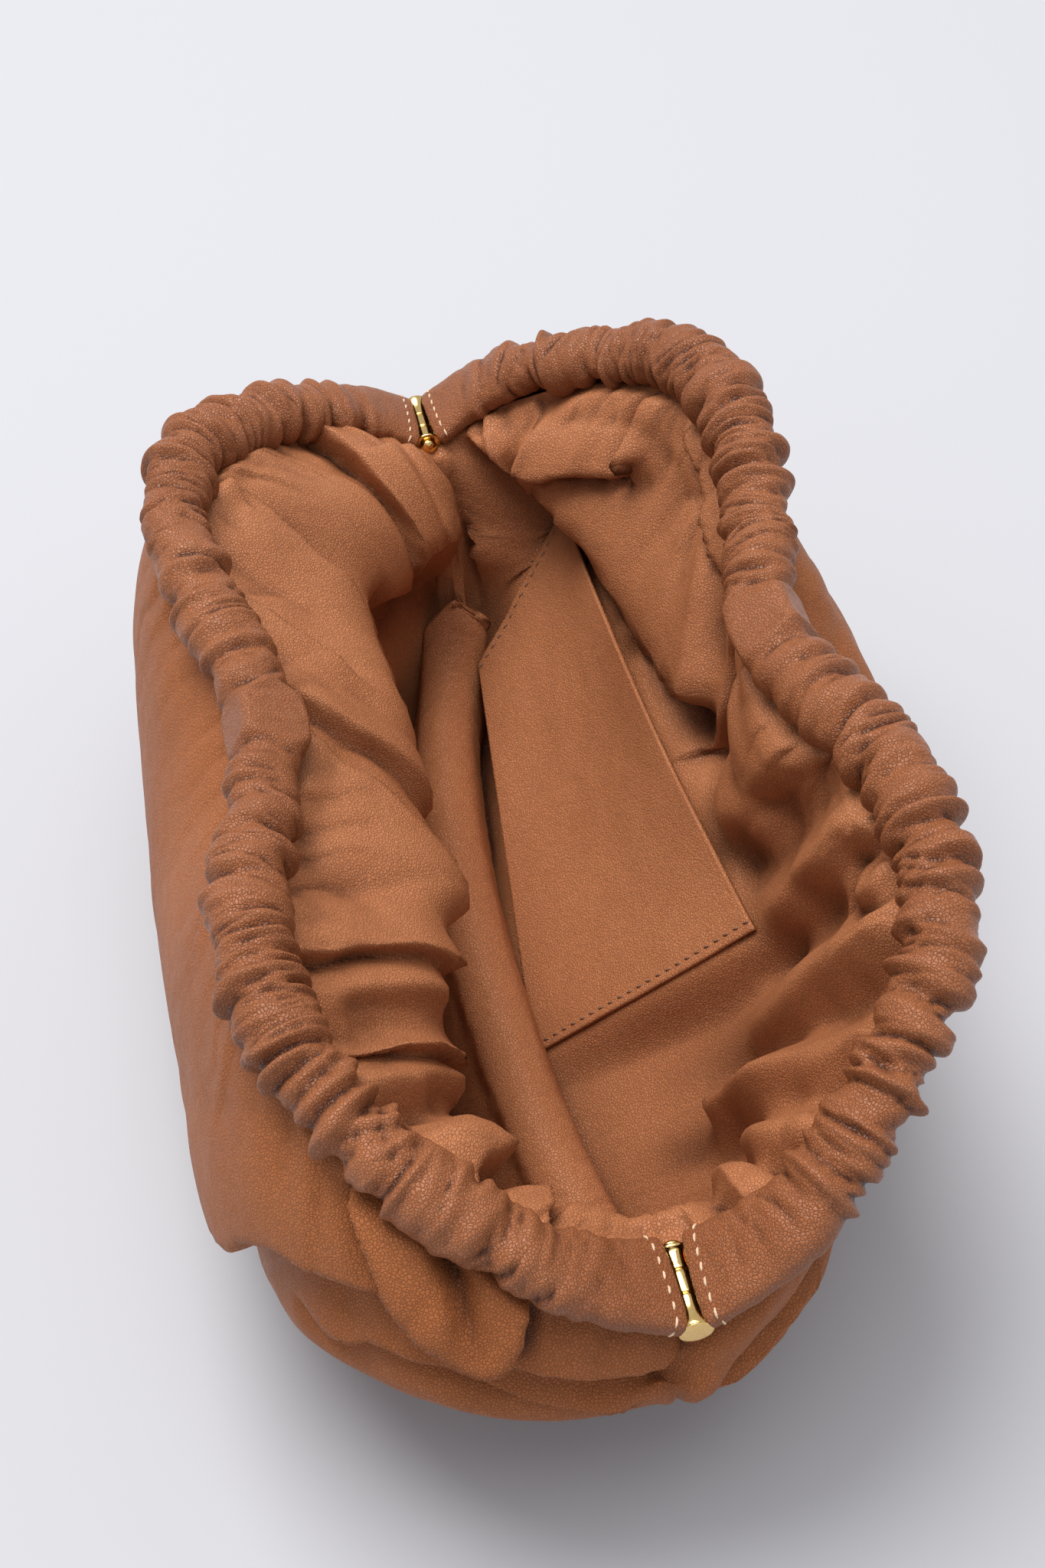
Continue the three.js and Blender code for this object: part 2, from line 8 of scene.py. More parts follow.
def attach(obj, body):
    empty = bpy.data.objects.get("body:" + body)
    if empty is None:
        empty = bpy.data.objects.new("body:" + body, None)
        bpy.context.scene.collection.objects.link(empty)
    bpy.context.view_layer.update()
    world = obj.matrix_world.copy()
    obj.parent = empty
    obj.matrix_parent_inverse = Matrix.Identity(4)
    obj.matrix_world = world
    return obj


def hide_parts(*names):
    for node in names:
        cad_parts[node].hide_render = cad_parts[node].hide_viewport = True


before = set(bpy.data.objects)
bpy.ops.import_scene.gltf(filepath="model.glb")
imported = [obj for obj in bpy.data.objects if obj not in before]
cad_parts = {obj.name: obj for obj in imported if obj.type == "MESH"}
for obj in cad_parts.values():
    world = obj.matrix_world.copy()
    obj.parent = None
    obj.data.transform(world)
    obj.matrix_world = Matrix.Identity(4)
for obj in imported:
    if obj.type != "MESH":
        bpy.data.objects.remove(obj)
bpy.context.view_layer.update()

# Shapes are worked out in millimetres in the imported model's frame; meshes take metres.
mm = 0.001
scene = bpy.context.scene


# camera, at the photograph's angle
view = {
    "place": (371.66, -57.81, 512.13),      # mm
    "right": (0.21851, 0.97405, -0.05899),
    "up": (-0.72121, 0.20192, 0.66263),
    "ahead": (-0.65735, 0.10225, -0.74662),
    "lens": 50.0,
    "sensor": 36.0,
    "shift": (-0.00496, -0.00108),
}
cameraData = bpy.data.cameras.new("camera")
cameraData.lens = view["lens"]
cameraData.sensor_width = view["sensor"]
cameraData.sensor_fit = "AUTO"
cameraData.shift_x, cameraData.shift_y = view["shift"]
cameraData.clip_start, cameraData.clip_end = 0.02, 20.0
camera = bpy.data.objects.new("camera", cameraData)
scene.collection.objects.link(camera)
turn = np.eye(4)
turn[:3, 0], turn[:3, 1], turn[:3, 2] = view["right"], view["up"], -np.array(view["ahead"])
turn[:3, 3] = np.array(view["place"]) * mm
camera.matrix_world = Matrix(turn.tolist())
scene.camera = camera
print("camera placed")


# helpers for surfaces worked out as whole arrays

def smoothStep(x, low, high):
    # 0 below low, 1 above high, and 3t^2 - 2t^3 between them
    t = np.clip((x - low) / (high - low), 0.0, 1.0)
    return t * t * (3.0 - 2.0 * t)


def mixed(a, b, share):
    return a * (1 - share) + b * share


def noise(x, y, seed, wrapX=0, wrapY=0):
    # value noise from -1 to 1: random numbers on a unit lattice, blended by a quintic in both directions;
    # wrapX and wrapY repeat it after that many cells
    size = 256
    table = np.random.default_rng(seed).uniform(-1.0, 1.0, (size, size))
    x, y = np.broadcast_arrays(np.asarray(x, float), np.asarray(y, float))
    xi, yi = np.floor(x).astype(int), np.floor(y).astype(int)
    xf, yf = x - xi, y - yi
    sx = xf * xf * xf * (xf * (xf * 6 - 15) + 10)
    sy = yf * yf * yf * (yf * (yf * 6 - 15) + 10)
    spanX, spanY = wrapX or size, wrapY or size
    x0, x1 = xi % spanX % size, (xi + 1) % spanX % size
    y0, y1 = yi % spanY % size, (yi + 1) % spanY % size
    low = mixed(table[x0, y0], table[x1, y0], sx)
    high = mixed(table[x0, y1], table[x1, y1], sx)
    return mixed(low, high, sy)


def catmullRom(a, b, c, d, f):
    # the cubic from b to c whose slopes there are half of c - a and half of d - b, at shares f
    return 0.5 * (2 * b + (c - a) * f + (2 * a - 5 * b + 4 * c - d) * f**2 + (3 * b - a - 3 * c + d) * f**3)


def throughKnots(knots, count, spread=None):
    # Catmull-Rom curve through the knots of the first axis, at count steps; spread maps 0..1 to where
    # they lie
    last = len(knots) - 1
    t = np.linspace(0.0, 1.0, count)
    t = (spread(t) if spread else t) * last
    i = np.clip(np.floor(t).astype(int), 0, last - 1)
    f = (t - i).reshape((-1,) + (1,) * (knots.ndim - 1))
    b, c = knots[i], knots[i + 1]
    a = np.where((i > 0).reshape(f.shape), knots[np.maximum(i - 1, 0)], 2 * b - c)
    d = np.where((i < last - 1).reshape(f.shape), knots[np.minimum(i + 2, last)], 2 * c - b)
    return catmullRom(a, b, c, d, f)


def roundTable(values, place):
    # closed Catmull-Rom curve through evenly spaced values round the mouth, at places 0 to 1
    values = np.asarray(values, float)
    n = len(values)
    at = (np.asarray(place) % 1.0) * n
    i = np.floor(at).astype(int)
    a, b, c, d = (values[(i + k) % n] for k in (-1, 0, 1, 2))
    return catmullRom(a, b, c, d, at - i)


def openTable(pairs, along):
    # Catmull-Rom curve through evenly spaced rows, at shares 0 to 1
    values = np.asarray(pairs, float)
    last = len(values) - 1
    at = np.clip(along, 0, 1) * last
    i = np.clip(np.floor(at).astype(int), 0, last - 1)
    f = (at - i)[:, None] if values.ndim > 1 else at - i
    before, after = values[np.maximum(i - 1, 0)], values[np.minimum(i + 2, last)]
    return catmullRom(before, values[i], values[i + 1], after, f)


def unit(v):
    return v / np.maximum(np.linalg.norm(v, axis=-1, keepdims=True), 1e-9)


def surfaceNormals(grid, closed=False):
    # cross product of the grid's two directions; closed repeats the second axis
    down = np.gradient(grid, axis=0)
    if closed:
        across = np.roll(grid, -1, axis=1) - np.roll(grid, 1, axis=1)
    else:
        across = np.gradient(grid, axis=1)
    return unit(np.cross(across, down))


def gridFaces(rows, columns, closed):
    # four corners of each cell of a grid, as indices; closed joins the last column to the first
    r = np.arange(rows - 1)[:, None] * columns
    c = np.arange(columns if closed else columns - 1)[None, :]
    n = (c + 1) % columns
    return np.stack([r + c, r + n, r + columns + n, r + columns + c], -1).reshape(-1, 4)


def tubeFaces(rings, sides, side):
    # a tube's cells and its two end faces, turned round on the front half so that they point outwards
    # there too
    faces = gridFaces(rings, sides, True)
    caps = [list(range(sides)), list(range((rings - 1) * sides, rings * sides))[::-1]]
    if side < 0:
        faces, caps = faces[:, ::-1], [cap[::-1] for cap in caps]
    return faces, caps


def makeObject(name, points, faces, attributes=None, caps=(), uv=None):
    # mesh from arrays in mm, put in metres, shaded smooth, with float attributes on its points
    mesh = bpy.data.meshes.new(name)
    faces = [tuple(f) for f in faces.tolist()] + [tuple(c) for c in caps]
    mesh.from_pydata((points.reshape(-1, 3) * mm).tolist(), [], faces)
    mesh.polygons.foreach_set("use_smooth", np.ones(len(mesh.polygons), bool))
    for key, values in (attributes or {}).items():
        layer = mesh.attributes.new(key, "FLOAT", "POINT")
        layer.data.foreach_set("value", np.asarray(values, np.float32).ravel())
    if uv is not None:
        layer = mesh.uv_layers.new(name="UVMap")
        corners = np.empty(len(mesh.loops), np.int32)
        mesh.loops.foreach_get("vertex_index", corners)
        layer.data.foreach_set("uv", uv.reshape(-1, 2)[corners].astype(np.float32).ravel())
    mesh.update()
    thing = bpy.data.objects.new(name, mesh)
    scene.collection.objects.link(thing)
    return thing


def upsample(grid, closedAcross=False):
    # twice the rows and columns, each new point by the four-point rule (9(b + c) - a - d) / 16
    def between(g, closed):
        if closed:
            a, b, c, d = np.roll(g, 1, 1), g, np.roll(g, -1, 1), np.roll(g, -2, 1)
        else:
            a = np.concatenate([2 * g[:, :1] - g[:, 1:2], g[:, :-2]], 1)
            b, c = g[:, :-1], g[:, 1:]
            d = np.concatenate([g[:, 2:], 2 * g[:, -1:] - g[:, -2:-1]], 1)
        return (9 * (b + c) - a - d) / 16

    def woven(g, closed):
        new = between(g, closed)
        both = np.empty((g.shape[0], g.shape[1] + new.shape[1], g.shape[2]))
        both[:, ::2], both[:, 1::2] = g, new
        return both

    return woven(woven(grid, closedAcross).transpose(1, 0, 2), False).transpose(1, 0, 2)


def hollowness(grid, normal, reach, closed=False):
    # how far a point lies below the mean of its four neighbours, reach cells off, as a share of their
    # distance
    rows, columns = np.arange(grid.shape[0]), np.arange(grid.shape[1])
    above, below = grid[np.maximum(rows - reach, 0)], grid[np.minimum(rows + reach, rows[-1])]
    if closed:
        left, right = np.roll(grid, reach, 1), np.roll(grid, -reach, 1)
    else:
        left = grid[:, np.maximum(columns - reach, 0)]
        right = grid[:, np.minimum(columns + reach, columns[-1])]
    mean = (above + below + left + right) / 4
    span = np.linalg.norm(above - below, axis=-1) + np.linalg.norm(left - right, axis=-1)
    return ((mean - grid) * normal).sum(-1) / np.maximum(span / 4, 0.2)


def weld(thing, distance=0.00002):
    # joins points that lie on each other, so that seams and poles are closed
    work = bmesh.new()
    work.from_mesh(thing.data)
    bmesh.ops.remove_doubles(work, verts=work.verts, dist=distance)
    bmesh.ops.dissolve_degenerate(work, edges=work.edges, dist=1e-7)
    work.to_mesh(thing.data)
    work.free()


# the frame halves' centre lines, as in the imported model
bag = {
    "hingeSpan": 300.0,
    "hingeHeight": 90.0,
    "reach": 87.0,
    "openAngle": math.radians(58.7),
    "sleeveWidth": 9.0,      # half width in the frame's plane
    "sleeveDepth": 8.0,      # half depth
    "endGap": 4.2,           # from the hinge axis to a sleeve's end
}
# from a hinge to the middle: shares of half the hinge span and of the reach
frameShape = np.array([
    (1.0, 0.0), (0.999, 0.235), (0.952, 0.457), (0.878, 0.656), (0.783, 0.828), (0.67, 0.959), (0.537, 1.017),
    (0.4, 1.013), (0.266, 0.961), (0.135, 0.892), (0.0, 0.854)])
fineCount = 4001         # steps of the fine curve along a frame half
shapeKnots = np.vstack([frameShape, frameShape[-2::-1] * (-1, 1)])
fineCurve = throughKnots(shapeKnots * (bag["hingeSpan"] / 2, bag["reach"]), fineCount)
fineStep = np.r_[0.0, np.cumsum(np.linalg.norm(np.diff(fineCurve, axis=0), axis=1))]
frameLength = fineStep[-1]


def frameAt(side, along):
    # centre, inward and face vectors of a frame half at shares of its length from the near hinge
    along = np.asarray(along, float)
    arc = along * frameLength
    u, v = np.interp(arc, fineStep, fineCurve[:, 0]), np.interp(arc, fineStep, fineCurve[:, 1])
    ahead, behind = np.clip(arc + 1.5, 0, frameLength), np.clip(arc - 1.5, 0, frameLength)
    du = np.interp(ahead, fineStep, fineCurve[:, 0]) - np.interp(behind, fineStep, fineCurve[:, 0])
    dv = np.interp(ahead, fineStep, fineCurve[:, 1]) - np.interp(behind, fineStep, fineCurve[:, 1])
    size = np.hypot(du, dv)
    du, dv = du / size, dv / size
    side = np.broadcast_to(side, along.shape).astype(float)
    sinus, cosine = math.sin(bag["openAngle"]), math.cos(bag["openAngle"])
    out = np.stack([np.zeros_like(side), side * sinus, np.full_like(side, cosine)], -1)
    face = np.stack([np.zeros_like(side), -side * cosine, np.full_like(side, sinus)], -1)
    level = np.zeros_like(out)
    level[..., 0] = 1.0
    centre = level * u[..., None] + out * v[..., None]
    centre[..., 2] += bag["hingeHeight"]
    inward = level * -dv[..., None] + out * du[..., None]
    tangent = level * du[..., None] + out * dv[..., None]
    return centre, inward, face, tangent


# cloth, for the gathers that pull themselves into shape

def relaxed(name, points, faces, cut, held, look, caps):
    # Blender's cloth run on a sheet of these points: cut gives the lengths that it was cut to, held is 1
    # where it is sewn down; the result is where its points come to rest
    thing = makeObject(name, points, faces, caps=caps)
    thing.shape_key_add(name="Basis")
    cutKey = thing.shape_key_add(name="cut")
    cutKey.data.foreach_set("co", (cut.reshape(-1, 3) * mm).ravel())
    cutKey.value = 0.0
    sewn = thing.vertex_groups.new(name="sewn")
    sewn.add(np.flatnonzero(np.ravel(held) > 0.5).tolist(), 1.0, "REPLACE")
    cloth = thing.modifiers.new("cloth", "CLOTH")
    fabric = cloth.settings
    fabric.quality, fabric.mass, fabric.air_damping = look["quality"], look["mass"], look["air"]
    fabric.tension_stiffness = fabric.compression_stiffness = look["tension"]
    fabric.shear_stiffness, fabric.bending_stiffness = look["shear"], look["bending"]
    fabric.tension_damping = fabric.compression_damping = fabric.shear_damping = look["damping"]
    fabric.bending_damping = look["bendDamping"]
    fabric.vertex_group_mass = "sewn"
    fabric.rest_shape_key = cutKey
    fabric.effector_weights.gravity = 0.0
    fabric.use_pressure = True
    fabric.uniform_pressure_force = look["pressure"]
    cloth.collision_settings.use_collision = False
    cloth.collision_settings.use_self_collision = False
    cloth.point_cache.frame_start, cloth.point_cache.frame_end = 1, look["frames"]
    for step in range(1, look["frames"] + 1):
        scene.frame_set(step)
    shown = thing.evaluated_get(bpy.context.evaluated_depsgraph_get())
    place = np.empty(points.size)
    shown.data.vertices.foreach_get("co", place)
    scene.frame_set(1)
    mesh = thing.data
    bpy.data.objects.remove(thing)
    bpy.data.meshes.remove(mesh)
    return place.reshape(points.shape) / mm


# gathered sleeves
sleeveLook = {
    "rings": 390,
    "sides": 30,
    "fullness": 1.0,         # spare leather, as a share of the frame's length
    "bunch": (0.6, 30.0),    # fuller here, smoother there: by this share, over so many mm
    "slants": [(8.0, 26, 2), (4.8, 12, 3)],     # how far the first creases stray from square across
    "crease": 6.8,           # mm between the first creases
    "depth": 1.7,            # their depth, mm
    "finer": 0.55,           # spacing of the smaller ones between them, as a share
    "gain": 1.45,            # how many times deeper the crumpled folds are made
    "most": 3.8,             # how far the leather may stand out from the plain tube, mm
    "crumple": [(0.10, 1.6, 26), (0.12, 3.4, 12)],          # fine wrinkles all over
    "paintedShade": 4.5,             # how strongly painted shade darkens the hollows
    "seamAt": 236.0,         # degrees round the section where the lining is sewn on
    "seamHalf": 7.0,         # degrees to each side that it is held
    "turnIn": [(0.93, -0.5), (0.8, 0.2), (0.74, 5.0)],      # the ends' rings: size, mm inwards
}
# a negative pressure draws the tube in
sleeveCloth = {"quality": 5, "mass": 0.02, "tension": 12.0, "shear": 4.0, "bending": 0.006, "damping": 4.0,
               "bendDamping": 0.4, "air": 4.0, "pressure": -2.5, "frames": 36}
# along, half width, half depth, squareness, gather; one row a line
sleeveTable = np.array([
    (0.000, 1.30, 0.30, 3.6, 0.00),
    (0.010, 1.28, 0.42, 3.0, 0.02),
    (0.035, 1.22, 0.52, 2.6, 0.10),
    (0.060, 1.12, 0.68, 2.3, 0.45),
    (0.100, 1.00, 0.90, 2.1, 0.95),
    (0.300, 1.00, 1.00, 2.0, 1.00),
    (0.450, 1.00, 0.98, 2.0, 0.95),
    (0.474, 0.99, 0.93, 2.2, 0.60),
    (0.486, 1.00, 0.92, 6.5, 0.03),
    (0.500, 1.00, 0.92, 7.5, 0.00),
])


def sleeveColumn(along, which):
    place = np.minimum(along, 1 - along)
    rows = sleeveTable[:, 0]
    i = np.clip(np.searchsorted(rows, place, side="right") - 1, 0, len(rows) - 2)
    return mixed(sleeveTable[i, which], sleeveTable[i + 1, which], smoothStep(place, rows[i], rows[i + 1]))


def tubeNoise(row, along, turnShare, seed):
    # noise on a tube; a row holds its height, the mm that a cell takes along the tube, and the cells
    # round it
    height, length, cells = row
    return height * noise(along / length, turnShare * cells, seed, wrapY=cells)


def makeSleeve(name, side, seed, node):
    # tube round the frame's line, a squared ellipse in the inward and face directions: cut longer than
    # the frame where it is gathered, pushed out by slanting noise and left to crumple, then turned in at
    # both ends
    look = sleeveLook
    endShare = bag["endGap"] / frameLength
    fine = np.linspace(endShare, 1 - endShare, fineCount)
    bunch = 1 + look["bunch"][0] * noise(fine * frameLength / look["bunch"][1], seed, seed + 7)
    density = 1 + look["fullness"] * sleeveColumn(fine, 4) * bunch
    cutLength = np.r_[0, np.cumsum(0.5 * (density[1:] + density[:-1]) * np.diff(fine) * frameLength)]
    cutAt = np.linspace(0, cutLength[-1], look["rings"])[:, None]
    along = np.interp(cutAt[:, 0], cutLength, fine)[:, None]
    angle = np.linspace(0, 2 * math.pi, look["sides"], endpoint=False)[None, :]
    turnShare = angle / (2 * math.pi)
    width = bag["sleeveWidth"] * sleeveColumn(along, 1)
    depth = bag["sleeveDepth"] * sleeveColumn(along, 2)
    square = sleeveColumn(along, 3)
    gather = sleeveColumn(along, 4)
    across = np.sign(np.cos(angle)) * np.abs(np.cos(angle)) ** (2 / square)
    over = np.sign(np.sin(angle)) * np.abs(np.sin(angle)) ** (2 / square)
    centre, inward, face, tangent = frameAt(side, along[:, 0])
    centre, inward, face = centre[:, None], inward[:, None], face[:, None]
    wideSlant, narrowSlant = look["slants"]
    slant = tubeNoise(wideSlant, cutAt, turnShare, seed + 1)
    slant = slant + tubeNoise(narrowSlant, cutAt, turnShare, seed + 2)
    wideCrease = (look["depth"], look["crease"], 2)
    fineCrease = (look["depth"] / 2, look["finer"] * look["crease"], 4)
    push = tubeNoise(wideCrease, cutAt + slant, turnShare, seed)
    push = push + tubeNoise(fineCrease, cutAt - slant, turnShare, seed + 3)
    push = push * gather
    plain = centre + inward * (width * across)[..., None] + face * (depth * over)[..., None]
    start = plain + inward * (push * across)[..., None] + face * (push * over)[..., None]
    cut = np.stack(np.broadcast_arrays(cutAt, width * across, depth * over), -1)
    fromSeam = np.abs((np.degrees(angle) - look["seamAt"] + 180) % 360 - 180)
    held = (gather < 0.12) | (fromSeam < look["seamHalf"])
    faces, caps = tubeFaces(look["rings"], look["sides"], side)
    crumpled = relaxed(name + "_cloth", start, faces, cut, held, sleeveCloth, caps)
    shift = (crumpled - plain) * look["gain"]
    size = np.linalg.norm(shift, axis=-1, keepdims=True)
    shift = shift * (look["most"] * np.tanh(size / look["most"]) / np.maximum(size, 1e-6))
    grid = upsample(plain + shift, True)
    arc = np.interp(np.linspace(0, 1, len(grid)), np.linspace(0, 1, look["rings"]), along[:, 0]) * frameLength
    turnShare = np.linspace(0, 1, grid.shape[1], endpoint=False)[None, :]
    normal = surfaceNormals(grid, True) * side
    fineCrumple, wideCrumple = look["crumple"]
    crumple = tubeNoise(fineCrumple, arc[:, None], turnShare, seed + 5)
    crumple = crumple + tubeNoise(wideCrumple, arc[:, None], turnShare, seed + 6)
    grid = grid + normal * crumple[..., None]
    normal = surfaceNormals(grid, True) * side
    # painted shade in the hollows: the deeper a point lies below its neighbours, the darker the material
    # paints it
    crease = np.clip(hollowness(grid, normal, 2, True) * look["paintedShade"], 0, 1)

    def turnedIn(k):
        middle = grid[k].mean(axis=0)
        inside = tangent[0] if k == 0 else -tangent[-1]
        return [middle + (grid[k] - middle) * share + inside * step for share, step in look["turnIn"]]

    rows = np.stack(turnedIn(0)[::-1] + list(grid) + turnedIn(-1))
    # painted shade at half strength on the turned-in ends
    edgeShade = np.full((len(look["turnIn"]), grid.shape[1]), 0.5)
    faces, caps = tubeFaces(*rows.shape[:2], side)
    sleeve = makeObject(name, rows, faces, {"crease": np.vstack([edgeShade, crease, edgeShade])}, caps)
    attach(sleeve, "root")
    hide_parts(node)
    return sleeve, grid, normal, arc


frontSleeve, frontGrid, frontNormal, sleeveArc = makeSleeve("front_sleeve_gathered", -1, 11, "front_sleeve")
backSleeve, backGrid, backNormal, sleeveArc = makeSleeve("back_sleeve_gathered", 1, 31, "back_sleeve")
print("sleeves gathered")


# folds shared by the outer leather and the lining
foldLook = {
    "lap": {"edge": 0.16, "lean": 0.42},     # shares: of the width to drop over, of the drop to lean over
    "soft": {"edge": 0.5, "lean": 0.15},
    "least": 2.4,            # the shortest drop, mm
    "round": 0.95,           # power of a lap's sine: fuller below 1
}


def nearLine(line, x, y, mouth):
    # for each point the signed distance to a bent line, the run along it to the nearest place, that place's
    # direction and the line's length; past the two ends the line goes straight on
    knots = throughKnots(np.array(line, float), 4 * (len(line) - 1) + 1)
    shape = np.broadcast(x, y).shape
    nearest, across, run, wayX, wayY = (np.full(shape, value) for value in (1e9, 0.0, 0.0, 0.0, 0.0))
    start = 0.0
    for k in range(len(knots) - 1):
        dx, dy = knots[k + 1] - knots[k]
        length = math.hypot(dx, dy)
        px = x - knots[k, 0]
        if mouth:
            px = px - np.round((px - dx / 2) / mouth) * mouth
        py = y - knots[k, 1]
        share = (px * dx + py * dy) / length**2
        inside = np.clip(share, 0, 1)
        off = np.hypot(px - inside * dx, py - inside * dy)
        side = (px * dy - py * dx) / length
        past = (share < 0) if k == 0 else (share > 1) if k == len(knots) - 2 else np.zeros(shape, bool)
        closer = off < nearest
        nearest = np.where(closer, off, nearest)
        across = np.where(closer, np.where(past, side, np.sign(side) * off), across)
        run = np.where(closer, start + np.where(past, share, inside) * length, run)
        wayX, wayY = np.where(closer, dx / length, wayX), np.where(closer, dy / length, wayY)
        start += length
    return across, run, wayX, wayY, start


def foldField(folds, x, y, mouth=None):
    # sum of single folds, each on a bent line of (x, y). A lap rises as a sine over its width, drops
    # within its edge length on the side that the width's sign names and comes back from its hollow over
    # the width again; it runs in and out over its two end lengths. A soft fold is a lap with a rounder
    # edge. A puff is exp(-d^2), a crease exp(-d^1.1). The second and third results are how far the laps
    # lean over in x and y; mouth is where x starts again.
    push, leanX, leanY = (np.zeros(np.broadcast(x, y).shape) for _ in range(3))
    for number, (kind, line, width, height, hollow, *ends) in enumerate(folds):
        across, run, wayX, wayY, length = nearLine(line, x, y, mouth)
        wide, way = abs(width), math.copysign(1.0, width)
        if kind in ("puff", "crease"):
            beyond = np.maximum(np.maximum(-run, run - length), 0)
            far = np.hypot(across, beyond) / wide
            push = push + height * np.exp(-far ** (2 if kind == "puff" else 1.1))
            continue
        u = across * way + 0.1 * wide * noise(run / 13, across / 30, 700 + number)
        rise = np.sin(0.5 * math.pi * np.clip(1 + u / wide, 0, 1)) ** foldLook["round"]
        edge = max(foldLook[kind]["edge"] * wide, foldLook["least"])
        drop = smoothStep(u, -0.4 * edge, edge)
        back = 1 - smoothStep(u, edge, wide)
        first, last = np.array(ends) / 2
        fade = smoothStep(run, -first, first) * (1 - smoothStep(run, length - last, length + last))
        push = push + (height * rise * (1 - drop) - hollow * drop * back) * fade
        lean = foldLook[kind]["lean"] * (height + hollow) * rise**3 * (1 - drop) * fade * way
        leanX, leanY = leanX + lean * wayY, leanY - lean * wayX
    return push, leanX, leanY


def pleats(phase, seed, edge, least=0.25):
    # saw-toothed pleats, one for each whole number of the phase: a slow rise and a short drop, some
    # turned round, each with a height of its own; the second result is +1 or -1 for the side that it
    # leans to
    draw = np.random.default_rng(seed)
    height, turned = draw.uniform(least, 1.0, 512), np.where(draw.uniform(0, 1, 512) > 0.5, 1.0, -1.0)
    number = np.floor(phase).astype(int) % 512
    f = phase - np.floor(phase)
    way = turned[number]
    f = np.where(way > 0, f, 1 - f)
    rise = np.sin(0.5 * math.pi * np.clip(f / (1 - edge), 0, 1)) ** 0.85
    return height[number] * rise * (1 - smoothStep(f, 1 - edge, 1.0)), way


def alongOf(grid, closed=False):
    # unit vectors along the columns' direction and down the rows
    if closed:
        level = np.roll(grid, -1, axis=1) - np.roll(grid, 1, axis=1)
    else:
        level = np.gradient(grid, axis=1)
    return unit(level), unit(np.gradient(grid, axis=0))


# outer leather
outerLook = {
    "columns": 500,
    "rows": 92,
    "bellyLength": 326.0,
    "bellyWidth": 208.0,
    "bellyHeight": 64.0,
    "nearTuck": 0.2,         # how much further the foot draws in at the near end, as a share of the belly
    "wall": 1.5,
    "pleat": 12.0,           # mm between the gathers under the sleeve
    "pleatDepth": 2.6,
    "pleatFade": (15.0, 9.0),        # mm down over which they fade, and how much that varies
    "drifts": [(0.5, 30, 26), (0.25, 70, 12)],      # how far the gathers stray, as shares of their spacing
    "swell": (1.3, 20, 60),
    "ripple": (0.3, 90, 22),
    "seam": [(-0.9, 0.0, 1.1), (0.35, 2.6, 1.4)],   # at each end: height, place and width, mm
}
bellyX = [1.0, 0.94, 0.71, 0.34, 0.0, -0.34, -0.69, -0.92, -0.98, -0.92, -0.69, -0.34, 0.0, 0.32, 0.64, 0.88]
bellyY = [-0.04, -0.5, -0.87, -0.98, -1.0, -1.0, -0.9, -0.53, 0.0, 0.43, 0.82, 0.94, 0.95, 0.83, 0.56, 0.28]
# reach out to the belly, spread of the outline, height (above 1 is a share of the way up to the mouth)
outerFall = [(0.0, 1.0, 2.0), (0.5, 1.0, 1.74), (0.86, 1.0, 1.4), (1.0, 1.0, 1.0), (1.0, 0.985, 0.55),
             (1.0, 0.93, 0.17), (1.0, 0.84, 0.0)]
mouthLength = 2 * frameLength
# kind, bent line of x along the mouth and y down from its edge, width, height, hollow, two end lengths; mm
outerFolds = [
    ("lap", [(146, 96), (132, 76), (117, 60), (98, 38), (82, 26), (66, 20), (49, 22), (24, 15), (3, 11)],
     26, 2.5, 8, 60, 8),
    ("lap", [(92, 56), (64, 39), (36, 34), (10, 33)], 15, 1.5, 5.5, 14, 16),
    ("lap", [(76, 1), (68, 11), (59, 17), (48, 18), (40, 12), (36, 3)], 12, 6, 3, 8, 8),
    ("lap", [(62, 1), (54, 9), (50, 15)], -9, 1.5, 3, 6, 6),
    ("puff", [(250, 56), (330, 60)], 34, -3, 0),
    ("soft", [(346, 22), (366, 52), (392, 90)], -26, 4, 4, 20, 24),
    ("soft", [(388, 4), (398, 30), (402, 64)], -18, 3, 4, 8, 24),
    ("soft", [(430, 90), (456, 68), (500, 56)], 26, 4, 4, 24, 28),
    ("soft", [(470, 8), (486, 34), (510, 70)], 26, 4, 3, 14, 30),
    ("crease", [(540, 40), (600, 32), (660, 34)], 26, -4, 0),
    ("soft", [(586, 14), (606, 48), (640, 92)], 30, 4, 4, 20, 30),
    ("soft", [(540, 96), (580, 82), (620, 84)], 20, 3, 3, 24, 24),
    ("soft", [(676, 8), (688, 40), (716, 80)], -28, 4, 4, 16, 30),
    ("soft", [(818, 12), (796, 20), (768, 34), (742, 60)], -26, 3, 5, 10, 24),
    ("lap", [(812, 36), (790, 42), (760, 58)], -16, 1.5, 4, 12, 20),
]


def mouthPlaces(place):
    # side and share along the frame half for places 0 to 1 round the mouth, front first
    side = np.where(place <= 0.5, -1.0, 1.0)
    return side, np.where(place <= 0.5, 2 * place, 2 - 2 * place)


def edgeOffset(side, along):
    # frame vectors with the face made upright near the hinges, and the sleeve's size there
    centre, inward, face, tangent = frameAt(side, along)
    fromHinge = np.minimum(along, 1 - along) * frameLength
    face = face.copy()
    face[..., 1] *= smoothStep(fromHinge, 0.0, 22.0)
    width, depth = bag["sleeveWidth"] * sleeveColumn(along, 1), bag["sleeveDepth"] * sleeveColumn(along, 2)
    return centre, inward, unit(face), width, np.maximum(depth, 3.6)


def mouthNoise(row, share, down, seed):
    # noise round the mouth; a row holds its height, its cells round the mouth and the mm that a cell
    # takes down
    height, cells, length = row
    return height * noise(share * cells, down / length, seed, wrapX=cells)


